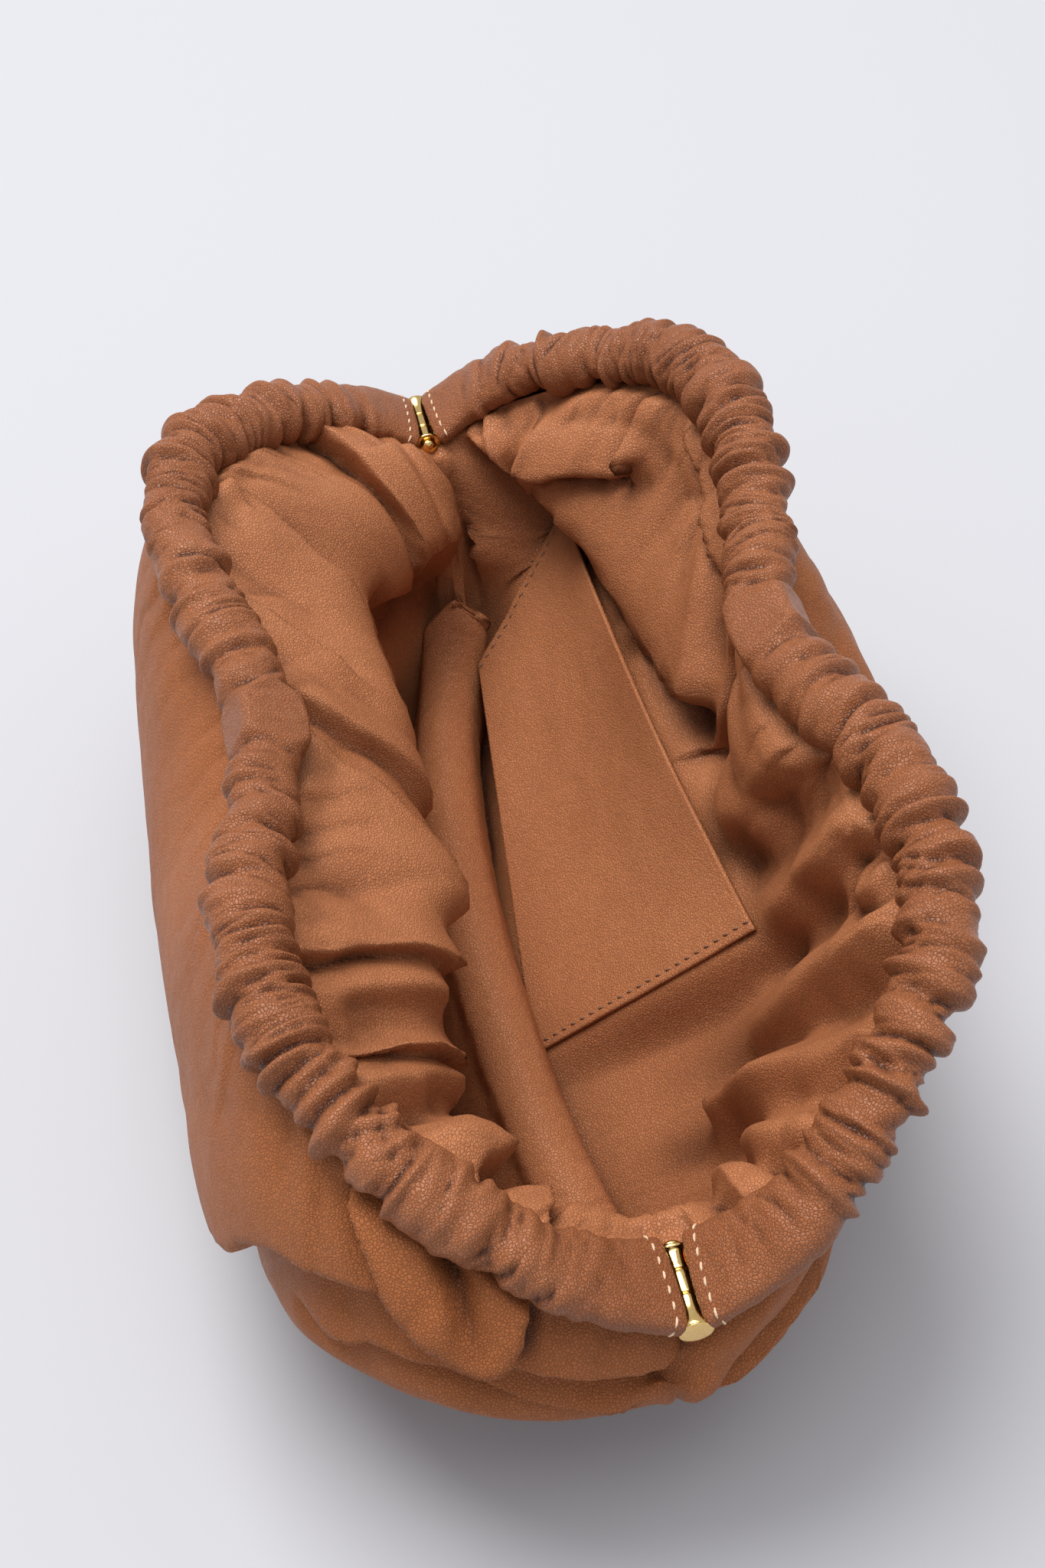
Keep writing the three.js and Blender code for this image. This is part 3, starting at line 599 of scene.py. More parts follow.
def makeOuter():
    # columns fall from under the sleeve to the belly outline and in to the floor, as Catmull-Rom curves
    # through the rows of outerFall; the wall is pushed along its normal by the folds, the gathers and a
    # slow swell, and has a shallow seam at each end
    look = outerLook
    rows, columns, belly = look["rows"], look["columns"], look["bellyHeight"]
    place = np.linspace(0, 1, columns, endpoint=False)
    centre, inward, face, width, depth = edgeOffset(*mouthPlaces(place))
    rim = centre - face * (depth[:, None] - 0.6)
    x = roundTable(bellyX, place) * look["bellyLength"] / 2
    y = roundTable(bellyY, place) * look["bellyWidth"] / 2
    tuck = look["nearTuck"] * smoothStep(2 * x / look["bellyLength"], 0.2, 0.8)
    knots = []
    for reach, spread, height in outerFall:
        out = (spread - tuck * max(1 - height, 0)) * reach
        level = belly + (rim[:, 2] - belly) * (height - 1) if height > 1 else np.full_like(x, belly * height)
        flat = rim[:, :2] * (1 - reach) + np.column_stack([x, y]) * out[:, None]
        knots.append(np.column_stack([flat, level]))
    grid = throughKnots(np.stack(knots), rows, lambda t: t**1.12)
    grid[..., 2] = np.maximum(grid[..., 2], 0.0)
    step = np.linalg.norm(np.diff(grid, axis=0), axis=-1)
    down = np.vstack([np.zeros(columns), np.cumsum(step, axis=0)])
    arc = np.broadcast_to(place[None, :] * mouthLength, down.shape)
    normal = surfaceNormals(grid, True)
    if normal[rows // 2, 0, 0] < 0:
        normal = -normal
    level, fall = alongOf(grid, True)
    share = arc / mouthLength
    turns = round(mouthLength / look["pleat"])
    wideDrift, fineDrift = look["drifts"]
    drift = share * turns + mouthNoise(wideDrift, share, down, 401) + mouthNoise(fineDrift, share, down, 402)
    pleat, way = pleats(drift % turns, 403, 0.2)
    fadeLength, fadeVaries = look["pleatFade"]
    fade = np.exp(-np.maximum(down - 1, 0) / (fadeLength + mouthNoise((fadeVaries, 45, 1), share, 0, 404)))
    folds, leanX, leanY = foldField(outerFolds, arc, down, mouthLength)
    push = look["pleatDepth"] * (pleat - 0.4) * fade + folds
    push = push + mouthNoise(look["swell"], share, down, 405) * smoothStep(down, 6, 40)
    push = push + mouthNoise(look["ripple"], share, down, 406) * smoothStep(down, 4, 30)
    fromEnd = np.minimum(np.minimum(arc, mouthLength - arc), np.abs(arc - frameLength))
    push = push + sum(height * np.exp(-(((fromEnd - at) / wide) ** 2)) for height, at, wide in look["seam"])
    held = (smoothStep(grid[..., 2], 0.5, 22) * smoothStep(down, 0, 4))[..., None]
    grid = grid + held * (normal * push[..., None] + level * leanX[..., None] + fall * leanY[..., None])
    grid[..., 2] = np.maximum(grid[..., 2], 0.0)
    normal = surfaceNormals(grid, True)
    if normal[rows // 2, 0, 0] < 0:
        normal = -normal
    # painted shade in the hollows, carried to the material by the crease attribute
    crease = np.clip(hollowness(grid, normal, 3, True) * 1.7, 0, 1)
    middle = grid[-1].mean(axis=0)
    base = np.stack([mixed(grid[-1], middle, share) for share in (0.25, 0.5, 0.75, 0.97)])
    grid = np.concatenate([grid, base])
    crease = np.vstack([crease, np.zeros(base.shape[:2])])
    cap = list(range((len(grid) - 1) * columns, len(grid) * columns))
    faces = gridFaces(len(grid), columns, True)
    return makeObject("outer_leather_body", grid, faces, {"crease": crease}, [cap])


outerBody = makeOuter()
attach(outerBody, "root")
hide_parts("outer_leather")
print("outer leather hung")


# lining, one sheet from the front edge over the ridge to the back edge
liningLook = {
    "columns": 344,
    "rows": 142,
    "length": 276.0,
    "width": 124.0,
    "waistHeight": 84.0,
    "lowHeight": 42.0,
    "floor": 4.6,
    "ridge": 31.0,
    "ridgeHalf": 10.5,
    "wall": 1.2,
    "pleat": 10.0,           # mm between the gathers at the edge
    "pleatDepth": 3.0,
    "drifts": [(6, 30, 22), (2, 11, 10)],       # how far they stray
    "fold": 27.0,            # mm between the wider folds below them
    "foldDepth": 3.0,
    "foldDrift": (12, 60, 42),
    "foldSwing": (0.3, 30.0, 62.0),         # how much the folds fan out below a depth, and over what length
    "swell": (3.0, 52, 44),
    "ripple": (0.5, 14, 16),
    "crumple": [(0.10, 2.6, 3.2), (0.14, 6, 5)],
    "backLane": 37.3,        # how far off in the noise the back wall is
}
# at the 9 stations from the near hinge to the far one: shares of half the length and of half the width
liningFront = {
    "waist": [(0.93, -0.03), (0.84, -0.42), (0.61, -0.68), (0.32, -0.61), (0.0, -0.53),
              (-0.33, -0.53), (-0.64, -0.58), (-0.87, -0.35), (-0.98, 0.03)],
    "low": [(0.87, -0.1), (0.78, -0.42), (0.58, -0.68), (0.3, -0.68), (-0.01, -0.65),
            (-0.33, -0.61), (-0.61, -0.58), (-0.81, -0.32), (-0.94, 0.05)],
    "valley": [(0.78, -0.16), (0.71, -0.39), (0.52, -0.58), (0.28, -0.61), (-0.01, -0.61),
               (-0.3, -0.58), (-0.57, -0.52), (-0.77, -0.29), (-0.88, 0.06)],
}
liningBack = {
    "waist": [(0.93, -0.03), (0.86, 0.45), (0.64, 0.84), (0.33, 1.0), (0.0, 1.0),
              (-0.35, 1.0), (-0.65, 0.87), (-0.9, 0.55), (-0.98, 0.03)],
    "low": [(0.87, -0.1), (0.78, 0.35), (0.58, 0.61), (0.3, 0.73), (-0.01, 0.74),
            (-0.33, 0.71), (-0.61, 0.58), (-0.84, 0.35), (-0.94, 0.05)],
    "valley": [(0.78, -0.16), (0.65, 0.03), (0.48, -0.03), (0.25, -0.08), (-0.03, -0.1),
               (-0.3, -0.08), (-0.57, -0.02), (-0.77, 0.1), (-0.88, 0.06)],
}
crestLine = [(0.71, -0.15), (0.64, -0.18), (0.48, -0.24), (0.25, -0.29), (-0.03, -0.31),
             (-0.3, -0.29), (-0.57, -0.21), (-0.75, -0.1), (-0.87, 0.03)]
crestHeight = [0.9, 1.0, 1.02, 1.0, 1.0, 1.0, 1.0, 1.08, 1.5]     # shares of ridge
floorHeight = [2.2, 1.2, 1.0, 1.0, 1.0, 1.0, 1.1, 2.6, 8.0]       # shares of floor
# kind, bent line of x along the frame half and y down from its edge, width, height, hollow, end lengths; mm
frontFolds = [
    ("lap", [(138, 0), (142, 24), (151, 56)], -24, 6.5, 3, 10, 10),
    ("soft", [(121, 0), (126, 20), (135, 53)], -18, 8, 4, 10, 14),
    ("lap", [(104, 0), (109, 26), (118, 60)], -16, 6, 3, 10, 14),
    ("soft", [(89, 0), (94, 22), (106, 54)], -16, 7, 4, 10, 14),
    ("lap", [(156, 54), (135, 54), (118, 58), (98, 54), (78, 38), (60, 25)], 40, 3.5, 4, 14, 16),
    ("puff", [(72, 14), (80, 30)], 9, 5, 0),
    ("lap", [(56, 0), (62, 14), (68, 32)], -14, 5, 3, 10, 10),
    ("lap", [(34, 0), (40, 12), (46, 26)], -12, 4.5, 2.5, 10, 8),
    ("puff", [(326, 12), (338, 40)], 26, 9, 0),
    ("lap", [(306, 0), (298, 18), (284, 48)], 18, 6, 4, 4, 18),
    ("lap", [(262, 0), (256, 14), (246, 36)], 13, 4, 3, 4, 14),
    ("lap", [(212, 2), (192, 28), (168, 54)], 24, 6, 4, 8, 14),
    ("lap", [(232, 0), (226, 20), (216, 54)], -16, 3.5, 3, 4, 18),
    ("lap", [(372, 0), (368, 20), (356, 46)], -16, 6, 4, 4, 16),
    ("puff", [(386, 18), (378, 44)], 13, 9, 0),
    ("lap", [(403, 14), (398, 28), (390, 52)], 13, 6, 2, 14, 16),
    ("lap", [(392, 36), (352, 52), (284, 57), (246, 57), (205, 56), (166, 52)], 46, 7, 3, 18, 14),
]
backFolds = [
    ("lap", [(370, 14), (360, 29), (350, 38), (330, 53), (308, 62), (286, 65), (262, 60), (240, 42)],
     44, 12, 4, 14, 12),
    ("lap", [(364, 18), (344, 23), (322, 25), (312, 20)], 13, 6, 1, 10, 8),
    ("puff", [(322, 6), (300, 10)], 11, 4, 0),
    ("lap", [(318, 0), (317, 12), (314, 26)], 11, 5, 4, 20, 8),
    ("lap", [(298, 5), (276, 13), (254, 20)], 9, 4, 3, 8, 10),
    ("lap", [(240, 6), (233, 24), (230, 46), (233, 70)], -20, 2.5, 6, 20, 26),
    ("puff", [(206, 16), (192, 50)], 20, 5, 0),
    ("soft", [(174, 0), (176, 20), (184, 44), (196, 66)], -34, 11, 4, 20, 34),
    ("soft", [(138, 0), (142, 22), (150, 48), (160, 74)], -30, 11, 4, 20, 34),
    ("soft", [(122, 0), (122, 10), (128, 22)], -10, 4, 3, 20, 10),
    ("soft", [(106, 0), (107, 24), (113, 56), (124, 90)], -28, 11, 4, 20, 34),
    ("puff", [(84, 56), (96, 90)], 17, 11, 0),
    ("soft", [(74, 0), (76, 26), (84, 60), (100, 104)], -22, 5, 4, 20, 30),
    ("soft", [(46, 0), (50, 24), (62, 56)], -18, 6, 3.5, 20, 20),
    ("soft", [(22, 0), (28, 18), (38, 40)], -12, 4, 3, 20, 14),
    ("puff", [(386, 16), (380, 44)], 11, 6, 0),
    ("lap", [(403, 14), (399, 26), (392, 50)], 12, 5, 2, 14, 16),
]


# smooth places, without the small gathers: x, y, half length along x and down y; mm
frontCalm = [(305, 62, 62, 34), (190, 66, 26, 26), (60, 50, 26, 18)]
backCalm = [(300, 42, 62, 36), (190, 48, 24, 34), (150, 52, 18, 30), (95, 62, 34, 40)]


def calmness(places, x, y):
    # 1 inside each ellipse, falling to 0 over the half beyond it
    calm = np.zeros(np.broadcast(x, y).shape)
    for middleX, middleY, halfX, halfY in places:
        far = np.hypot((x - middleX) / halfX, (y - middleY) / halfY)
        calm = np.maximum(calm, 1 - smoothStep(far, 0.75, 1.3))
    return calm


def liningBase(columns, rows):
    # one curve for each station: down the front wall, over the rounded ridge and up the back wall
    look = liningLook
    along = np.linspace(0, 1, columns)
    half = np.array([look["length"] / 2, look["width"] / 2])
    none = np.zeros_like(along)

    def at(table, height):
        return np.column_stack([openTable(table, along) * half, np.broadcast_to(height, along.shape)])

    edges = {}
    for side in (-1, 1):
        centre, inward, face, width, depth = edgeOffset(np.full_like(along, side), along)
        edges[side] = centre + inward * (0.66 * width)[:, None] - face * (0.62 * depth + 1.0)[:, None]
    crestZ = openTable(crestHeight, along) * look["ridge"]
    floorZ = openTable(floorHeight, along) * look["floor"]
    crest = at(crestLine, crestZ)
    taper = smoothStep(np.minimum(along, 2.2 * (1 - along)), 0.0, 0.09)
    sidestep = np.column_stack([none, look["ridgeHalf"] * taper, none])
    drop = np.column_stack([none, none, crestZ - floorZ])
    walls = []
    for side, table in ((-1, liningFront), (1, liningBack)):
        waist, low = at(table["waist"], look["waistHeight"]), at(table["low"], look["lowHeight"])
        valley = at(table["valley"], floorZ)
        low[:, 2] = mixed(low[:, 2], np.maximum(low[:, 2], crestZ + 6), 1 - taper)
        puff = mixed(edges[side], waist, 0.5) + np.array([0, 0, 2.5])
        flank = crest + sidestep * side - drop * 0.52
        shoulder = crest + sidestep * side * 0.72 - drop * 0.15
        walls.append([edges[side], puff, waist, low, valley, flank, shoulder])
    knots = np.stack(walls[0] + [crest] + walls[1][::-1])
    return along, throughKnots(knots, rows, lambda t: t - 0.035 * np.sin(4 * math.pi * t))


# slip pocket
pocketLook = {
    "columns": 180,
    "rows": 100,
    "mouthFar": (-130.0, 38.0, 65.0),
    "mouthNear": (43.0, 48.0, 65.0),
    "footFar": (-104.0, 3.0, 31.0),
    "footNear": (27.0, -10.0, 8.0),
    "face": (0.06, -0.76, 0.65),
    "wall": 1.2,
    "gape": 5.0,             # how far the mouth stands off the wall behind it, mm
    "sag": 4.5,              # how far the panel bows back into the wall, mm
    "behind": 1.7,           # from the panel's middle to the wall that it's sewn on
    "blend": 15.0,           # mm over which the wall leaves the pocket's plane
    "mouthHold": 2.2,        # how many times sooner it leaves it above the mouth
}


def pocketSurface(u, v):
    # bilinear patch from foot to mouth, bowed back into the wall in its middle and forwards at its mouth
    look = pocketLook
    u, v = u[..., None], v[..., None]
    farSide = mixed(np.array(look["footFar"]), np.array(look["mouthFar"]), v)
    nearSide = mixed(np.array(look["footNear"]), np.array(look["mouthNear"]), v)
    arch = np.sin(math.pi * np.clip(u, 0, 1)) ** 0.8
    bow = look["gape"] * arch * np.clip(v, 0, 1) ** 3
    bow = bow - look["sag"] * arch * np.sin(math.pi * np.clip(v, 0, 1))
    return mixed(farSide, nearSide, u) + unit(np.array(look["face"])) * bow


def layBehindPocket(points, share):
    # draws the wall to a fixed distance behind the pocket's panel inside its outline, less and less
    # outside it; a point's place in the panel comes from a few Newton steps on the flat patch
    look = pocketLook
    face = unit(np.array(look["face"]))
    corners = [np.array(look[key]) for key in ("footFar", "footNear", "mouthFar", "mouthNear")]
    footFar, footNear, mouthFar, mouthNear = corners
    u, v = np.full(points.shape[:2], 0.5), np.full(points.shape[:2], 0.5)
    for _ in range(12):
        shareU, shareV = u[..., None], v[..., None]
        here = mixed(mixed(footFar, footNear, shareU), mixed(mouthFar, mouthNear, shareU), shareV)
        toU = mixed(footNear - footFar, mouthNear - mouthFar, shareV)
        toV = mixed(mouthFar - footFar, mouthNear - footNear, shareU)
        gap, toU, toV = (way - face * (way @ face)[..., None] for way in (points - here, toU, toV))
        uu, vv, uv = (toU * toU).sum(-1), (toV * toV).sum(-1), (toU * toV).sum(-1)
        gu, gv = (gap * toU).sum(-1), (gap * toV).sum(-1)
        det = np.maximum(uu * vv - uv * uv, 1e-6)
        u = np.clip(u + (gu * vv - gv * uv) / det, -0.5, 1.5)
        v = np.clip(v + (gv * uu - gu * uv) / det, -0.5, 1.5)
    outsideU = np.maximum(np.maximum(-u, u - 1), 0) * np.linalg.norm(mouthNear - mouthFar)
    outsideV = np.maximum(np.maximum(-v, (v - 1) * look["mouthHold"]), 0) * np.linalg.norm(mouthFar - footFar)
    weight = (1 - smoothStep(np.hypot(outsideU, outsideV), 0.0, look["blend"])) * share
    u, v = np.clip(u, 0, 1), np.clip(v, 0, 1)
    gape = look["gape"] * 1.5 * np.sin(math.pi * u) ** 0.8 * v**3
    target = pocketSurface(u, v) - face * (look["behind"] + gape)[..., None]
    return points + face * (((target - points) @ face) * weight)[..., None]


def makeLining():
    # the base sheet pushed along its normal: saw-toothed gathers at the edge that run together into wider
    # folds, slow swells, and the single folds of the tables; laps also lean over their edges
    look = liningLook
    along, grid = liningBase(look["columns"], look["rows"])
    middle = look["columns"] // 2
    step = np.linalg.norm(np.diff(grid, axis=0), axis=-1)
    run = np.vstack([np.zeros(step.shape[1]), np.cumsum(step, axis=0)])
    total = run[-1]
    isFront = run < total * 0.5
    down = np.where(isFront, run, total - run)
    arc = np.broadcast_to(along[None, :] * frameLength, down.shape)
    lane = np.where(isFront, 0.0, look["backLane"])

    def sheetNoise(row, seed):
        # a row holds its height and the mm that a cell takes along the edge and down from it
        height, length, drop = row
        return height * noise(arc / length + lane, down / drop, seed)

    normal = surfaceNormals(grid)
    if normal[10, middle, 1] < 0:
        normal = -normal
    level, fall = alongOf(grid)
    fall = np.where(isFront[..., None], fall, -fall)
    wideDrift, fineDrift = look["drifts"]
    drift = arc + sheetNoise(wideDrift, 501) + sheetNoise(fineDrift, 502)
    gather, gatherWay = pleats(drift / look["pleat"] + lane, 503, 0.2)
    fan, fanFrom, fanLength = look["foldSwing"]
    drift = arc + sheetNoise(look["foldDrift"], 504) + fan * (down - fanFrom) * np.sin(arc / fanLength + lane)
    fold, foldWay = pleats(drift / look["fold"] + lane, 505, 0.16, 0.1)
    gatherShare = np.exp(-np.maximum(down - 2, 0) / 12)
    foldShare = smoothStep(down, 3, 20) * (1 - smoothStep(down, 46, 74))
    lowShare = smoothStep(down, 14, 40) * (1 - smoothStep(down, 76, 104))
    frontField, backField = foldField(frontFolds, arc, down), foldField(backFolds, arc, down)
    keep = 1 - smoothStep(down, 92, 112)
    single, singleX, singleY = (np.where(isFront, a, b) for a, b in zip(frontField, backField))
    calm = np.where(isFront, calmness(frontCalm, arc, down), calmness(backCalm, arc, down))
    foldShare = foldShare * (1 - 0.75 * smoothStep(np.abs(single), 1.0, 4.0)) * (1 - 0.92 * calm)
    push = look["pleatDepth"] * (gather - 0.35) * gatherShare + look["foldDepth"] * (fold - 0.4) * foldShare
    swell = sheetNoise(look["swell"], 506) + sheetNoise(look["ripple"], 507)
    push = push + swell * lowShare * (1 - 0.7 * calm) + single * keep
    leanX = 0.5 * look["pleatDepth"] * gather * gatherWay * gatherShare + singleX * keep
    leanX = leanX + 0.45 * look["foldDepth"] * fold * foldWay * foldShare
    hold = (smoothStep(np.minimum(arc, frameLength - arc), 0, 9) * smoothStep(down, 0, 3.5))[..., None]
    leanY = singleY * keep
    grid = grid + hold * (normal * push[..., None] + level * leanX[..., None] + fall * leanY[..., None])
    wallShare = np.where(isFront, 0.0, 1 - smoothStep(down, 0.5 * total - 24, 0.5 * total - 10))
    grid = layBehindPocket(grid, wallShare * smoothStep(frameLength - arc, 0, 14))
    grid[..., 2] = np.maximum(grid[..., 2], 3.6)
    crumple = sum(sheetNoise(row, 508 + k) for k, row in enumerate(look["crumple"]))
    grid = grid + normal * hold * crumple[..., None]
    for end in (0, -1):
        grid[:, end] = 0.5 * (grid[:, end] + grid[::-1, end])        # front and back meet in one seam
    shown = surfaceNormals(grid)
    faces = gridFaces(len(grid), look["columns"], False)
    if shown[10, middle, 1] < 0:
        shown, faces = -shown, faces[:, ::-1]
    # painted shade in the hollows, carried to the material by the crease attribute
    crease = np.clip(hollowness(grid, shown, 3) * 1.9, 0, 1)
    lining = makeObject("lining_sheet", grid, faces, {"crease": crease})
    weld(lining, 0.000001)
    return lining


liningSheet = makeLining()
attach(liningSheet, "root")
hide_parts("lining")
print("lining folded")


def makePocket():
    # the panel's surface with a slight swell
    look = pocketLook
    u, v = np.meshgrid(np.linspace(0, 1, look["columns"]), np.linspace(0, 1, look["rows"]), indexing="xy")
    grid = pocketSurface(u, v)
    swell = 0.45 * noise(u * 6, v * 4, 601) + 0.12 * noise(u * 22, v * 12, 602)
    grid = grid + unit(np.array(look["face"])) * (swell * np.sin(math.pi * v) ** 0.5)[..., None]
    pocket = makeObject("slip_pocket_panel", grid, gridFaces(look["rows"], look["columns"], False),
                        {"crease": np.zeros(grid.shape[:2])})
    return pocket, grid


pocketPanel, pocketGrid = makePocket()
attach(pocketPanel, "root")
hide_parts("slip_pocket")
print("pocket set in")


def addWall(thing, thickness, offset):
    # gives a sheet its thickness, towards the side that offset says, with its edges closed
    wall = thing.modifiers.new("wall", "SOLIDIFY")
    wall.thickness = thickness * mm
    wall.offset = offset
    wall.use_rim = True
    wall.use_even_offset = False


addWall(outerBody, outerLook["wall"], -1)
addWall(liningSheet, liningLook["wall"], -1)
addWall(pocketPanel, pocketLook["wall"], -1)


# stitches
stitchLook = {
    "length": 2.5,           # mm, as the sizes below
    "gap": 1.1,
    "radius": 0.36,
    "slant": 0.16,           # how far a stitch turns from its path
    "raise": 0.12,           # of its middle above the leather
    "sink": 0.45,            # of its ends below its middle
    "inset": 2.6,            # from a sleeve's end
    "sides": 6,
    "rings": (-1.0, -0.85, -0.4, 0.4, 0.85, 1.0),
}


def makeStitches(name, paths):
    # small rounded rods laid end to end along each path, a little slanted to it and sunk into the leather:
    # rings of a circle whose radius is sqrt(1 - t^2) at t = -1 to 1
    look = stitchLook
    sides, rings = look["sides"], np.array(look["rings"])
    size, pitch = len(rings) * sides, look["length"] + look["gap"]
    turnAt = np.linspace(0, 2 * math.pi, sides, endpoint=False)
    one = gridFaces(len(rings), sides, True)
    ends = np.stack([np.arange(sides), size - 1 - np.arange(sides)])
    allPoints, allFaces = [], []
    for path, normals in paths:
        at = np.r_[0, np.cumsum(np.linalg.norm(np.diff(path, axis=0), axis=1))]
        middle = np.arange(0.5 * pitch, at[-1] - 0.3 * pitch, pitch)

        def sample(values, where):
            return np.stack([np.interp(where, at, values[:, k]) for k in range(3)], -1)

        ahead = unit(sample(path, middle + 0.5) - sample(path, middle - 0.5))
        up = unit(sample(normals, middle))
        aside = unit(np.cross(ahead, up))
        ahead = unit(ahead + look["slant"] * aside)
        radius = np.sqrt(np.maximum(1 - rings**2, 0.02)) * look["radius"]
        centre = sample(path, middle) + up * look["raise"]
        centre, ahead, up, aside = (v[:, None, None] for v in (centre, ahead, up, aside))
        onRing = up * np.cos(turnAt)[:, None] + aside * np.sin(turnAt)[:, None]
        points = (centre + ahead * (rings * look["length"] / 2)[:, None, None]
                  - up * (look["sink"] * rings**2)[:, None, None] + onRing * radius[:, None, None])
        starts = sum(len(p) for p in allPoints) + np.arange(len(middle)) * size
        allPoints.append(points.reshape(-1, 3))
        allFaces += (one + starts[:, None, None]).reshape(-1, 4).tolist()
        allFaces += (ends + starts[:, None, None]).reshape(-1, sides).tolist()
    mesh = bpy.data.meshes.new(name)
    mesh.from_pydata((np.vstack(allPoints) * mm).tolist(), [], allFaces)
    mesh.polygons.foreach_set("use_smooth", np.ones(len(mesh.polygons), bool))
    mesh.update()
    work = bmesh.new()
    work.from_mesh(mesh)
    bmesh.ops.recalc_face_normals(work, faces=work.faces)
    work.to_mesh(mesh)
    work.free()
    thread = bpy.data.objects.new(name, mesh)
    scene.collection.objects.link(thread)
    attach(thread, "root")
    return thread


def ringPaths(grid, normal, arc):
    # the rings of a sleeve that lie the stitches' inset from its two ends, and their normals, closed
    paths = []
    for where in (arc[0] + stitchLook["inset"], arc[-1] - stitchLook["inset"]):
        k = int(np.argmin(np.abs(arc - where)))
        paths.append((np.vstack([grid[k], grid[k][:1]]), np.vstack([normal[k], normal[k][:1]])))
    return paths


tabPaths = ringPaths(frontGrid, frontNormal, sleeveArc) + ringPaths(backGrid, backNormal, sleeveArc)
tabThread = makeStitches("tab_stitches", tabPaths)
pocketFace = unit(np.array(pocketLook["face"]))
pocketUp = np.broadcast_to(pocketFace, (pocketLook["rows"], 3))
pocketPaths = [(pocketGrid[:, k] + pocketFace * 0.1, pocketUp) for k in (3, -4)]
pocketThread = makeStitches("pocket_stitches", pocketPaths)
print("stitches sewn")


# hinge barrels, turned brass over each hinge pin
barrelSides = 48
# along the barrel from the domed end inside the bag to the flat end outside it, radius; mm
barrelProfile = [
    (-11.1, 0.0), (-11.05, 0.8), (-10.8, 1.6), (-10.35, 2.2), (-9.8, 2.5), (-9.3, 2.3), (-8.95, 1.9),
    (-8.8, 2.1), (-8.75, 3.7), (-8.6, 4.0), (-8.2, 4.05), (-7.9, 3.9), (-7.5, 3.35), (-6.4, 3.2),
    (-5.0, 3.15), (-3.4, 3.2), (-3.1, 2.95), (-2.9, 2.7), (-2.7, 2.95), (-2.4, 3.2), (0.0, 3.28),
    (2.4, 3.2), (2.7, 2.95), (2.9, 2.7), (3.1, 2.95), (3.4, 3.2), (5.0, 3.18), (6.4, 3.25),
    (7.6, 3.45), (9.0, 3.8), (9.9, 4.0), (10.5, 4.05), (10.8, 3.9), (10.95, 3.5), (11.0, 0.0),
]


def makeBarrel(name, sign, node):
    # the profile, smoothed through its points, turned round the hinge axis
    fine = throughKnots(np.array(barrelProfile), (len(barrelProfile) - 1) * 4 + 1)
    place, radius = bag["hingeSpan"] / 2 + fine[:, :1], np.maximum(fine[:, 1:], 0.0)
    turnAt = np.linspace(0, 2 * math.pi, barrelSides, endpoint=False)
    x = np.broadcast_to(sign * place, (len(fine), barrelSides))
    points = np.stack([x, radius * np.cos(turnAt), bag["hingeHeight"] + radius * np.sin(turnAt)], -1)
    faces = gridFaces(len(fine), barrelSides, True)
    if sign < 0:
        faces = faces[:, ::-1]
    barrel = makeObject(name, points, faces)
    weld(barrel, 0.000005)
    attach(barrel, "root")
    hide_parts(node)
    return barrel


nearBarrel = makeBarrel("near_hinge_barrel", 1, "near_hinge_pin")
farBarrel = makeBarrel("far_hinge_barrel", -1, "far_hinge_pin")
print("barrels turned")


# materials

def nodesOf(name):
    material = bpy.data.materials.new(name)
    material.use_nodes = True
    tree = material.node_tree
    tree.nodes.clear()
    return material, tree.nodes, tree.links


def noiseNode(nodes, links, source, scale, detail, rough, distort=0.0):
    node = nodes.new("ShaderNodeTexNoise")
    settings = {"Scale": scale, "Detail": detail, "Roughness": rough, "Distortion": distort}
    for key, value in settings.items():
        node.inputs[key].default_value = value
    links.new(source, node.inputs["Vector"])
    return node


def rampNode(nodes, links, source, stops):
    ramp = nodes.new("ShaderNodeValToRGB")
    band = ramp.color_ramp
    while len(band.elements) > 1:
        band.elements.remove(band.elements[-1])
    band.elements[0].position, band.elements[0].color = stops[0][0], (*stops[0][1], 1)
    for position, colour in stops[1:]:
        band.elements.new(position).color = (*colour, 1)
    links.new(source, ramp.inputs["Fac"])
    return ramp.outputs["Color"]


def rangeNode(nodes, links, source, given, wanted):
    # stretches a value from one range to another
    node = nodes.new("ShaderNodeMapRange")
    node.inputs["From Min"].default_value, node.inputs["From Max"].default_value = given
    node.inputs["To Min"].default_value, node.inputs["To Max"].default_value = wanted
    links.new(source, node.inputs["Value"])
    return node.outputs["Result"]


def mixColour(nodes, links, kind, factor, a, b):
    node = nodes.new("ShaderNodeMix")
    node.data_type = "RGBA"
    node.blend_type = kind
    node.clamp_result = True
    for value, socket in ((factor, node.inputs[0]), (a, node.inputs[6]), (b, node.inputs[7])):
        if isinstance(value, (float, tuple)):
            socket.default_value = (*value, 1) if isinstance(value, tuple) else value
        else:
            links.new(value, socket)
    return node.outputs[2]


def surface(nodes, links, linked, fixed):
    # the shader and its output: sockets that other nodes feed, and sockets set to a value
    shader = nodes.new("ShaderNodeBsdfPrincipled")
    for key, source in linked.items():
        links.new(source, shader.inputs[key])
    for key, value in fixed.items():
        shader.inputs[key].default_value = value
    links.new(shader.outputs["BSDF"], nodes.new("ShaderNodeOutputMaterial").inputs["Surface"])


leatherLook = {
    "pale": (0.385, 0.144, 0.058),
    "deep": (0.305, 0.107, 0.041),
    # colour of the painted shade in the hollows
    "crease": (0.085, 0.025, 0.009),
    "clouds": 14.0,          # a metre, as the three below
    "pebble": 1250.0,
    "warp": 420.0,
    "wrinkle": 230.0,
    "stray": 0.0012,         # m, how far the pebbles' edges stray
    "pore": 0.22,            # how much the pebbles' edges darken
    "grain": 0.0002,         # m, height of the grain
    "wrinkleRise": 1.6,      # height of the wrinkles, as a share of the pebbles'
    "roughness": 0.38,
}


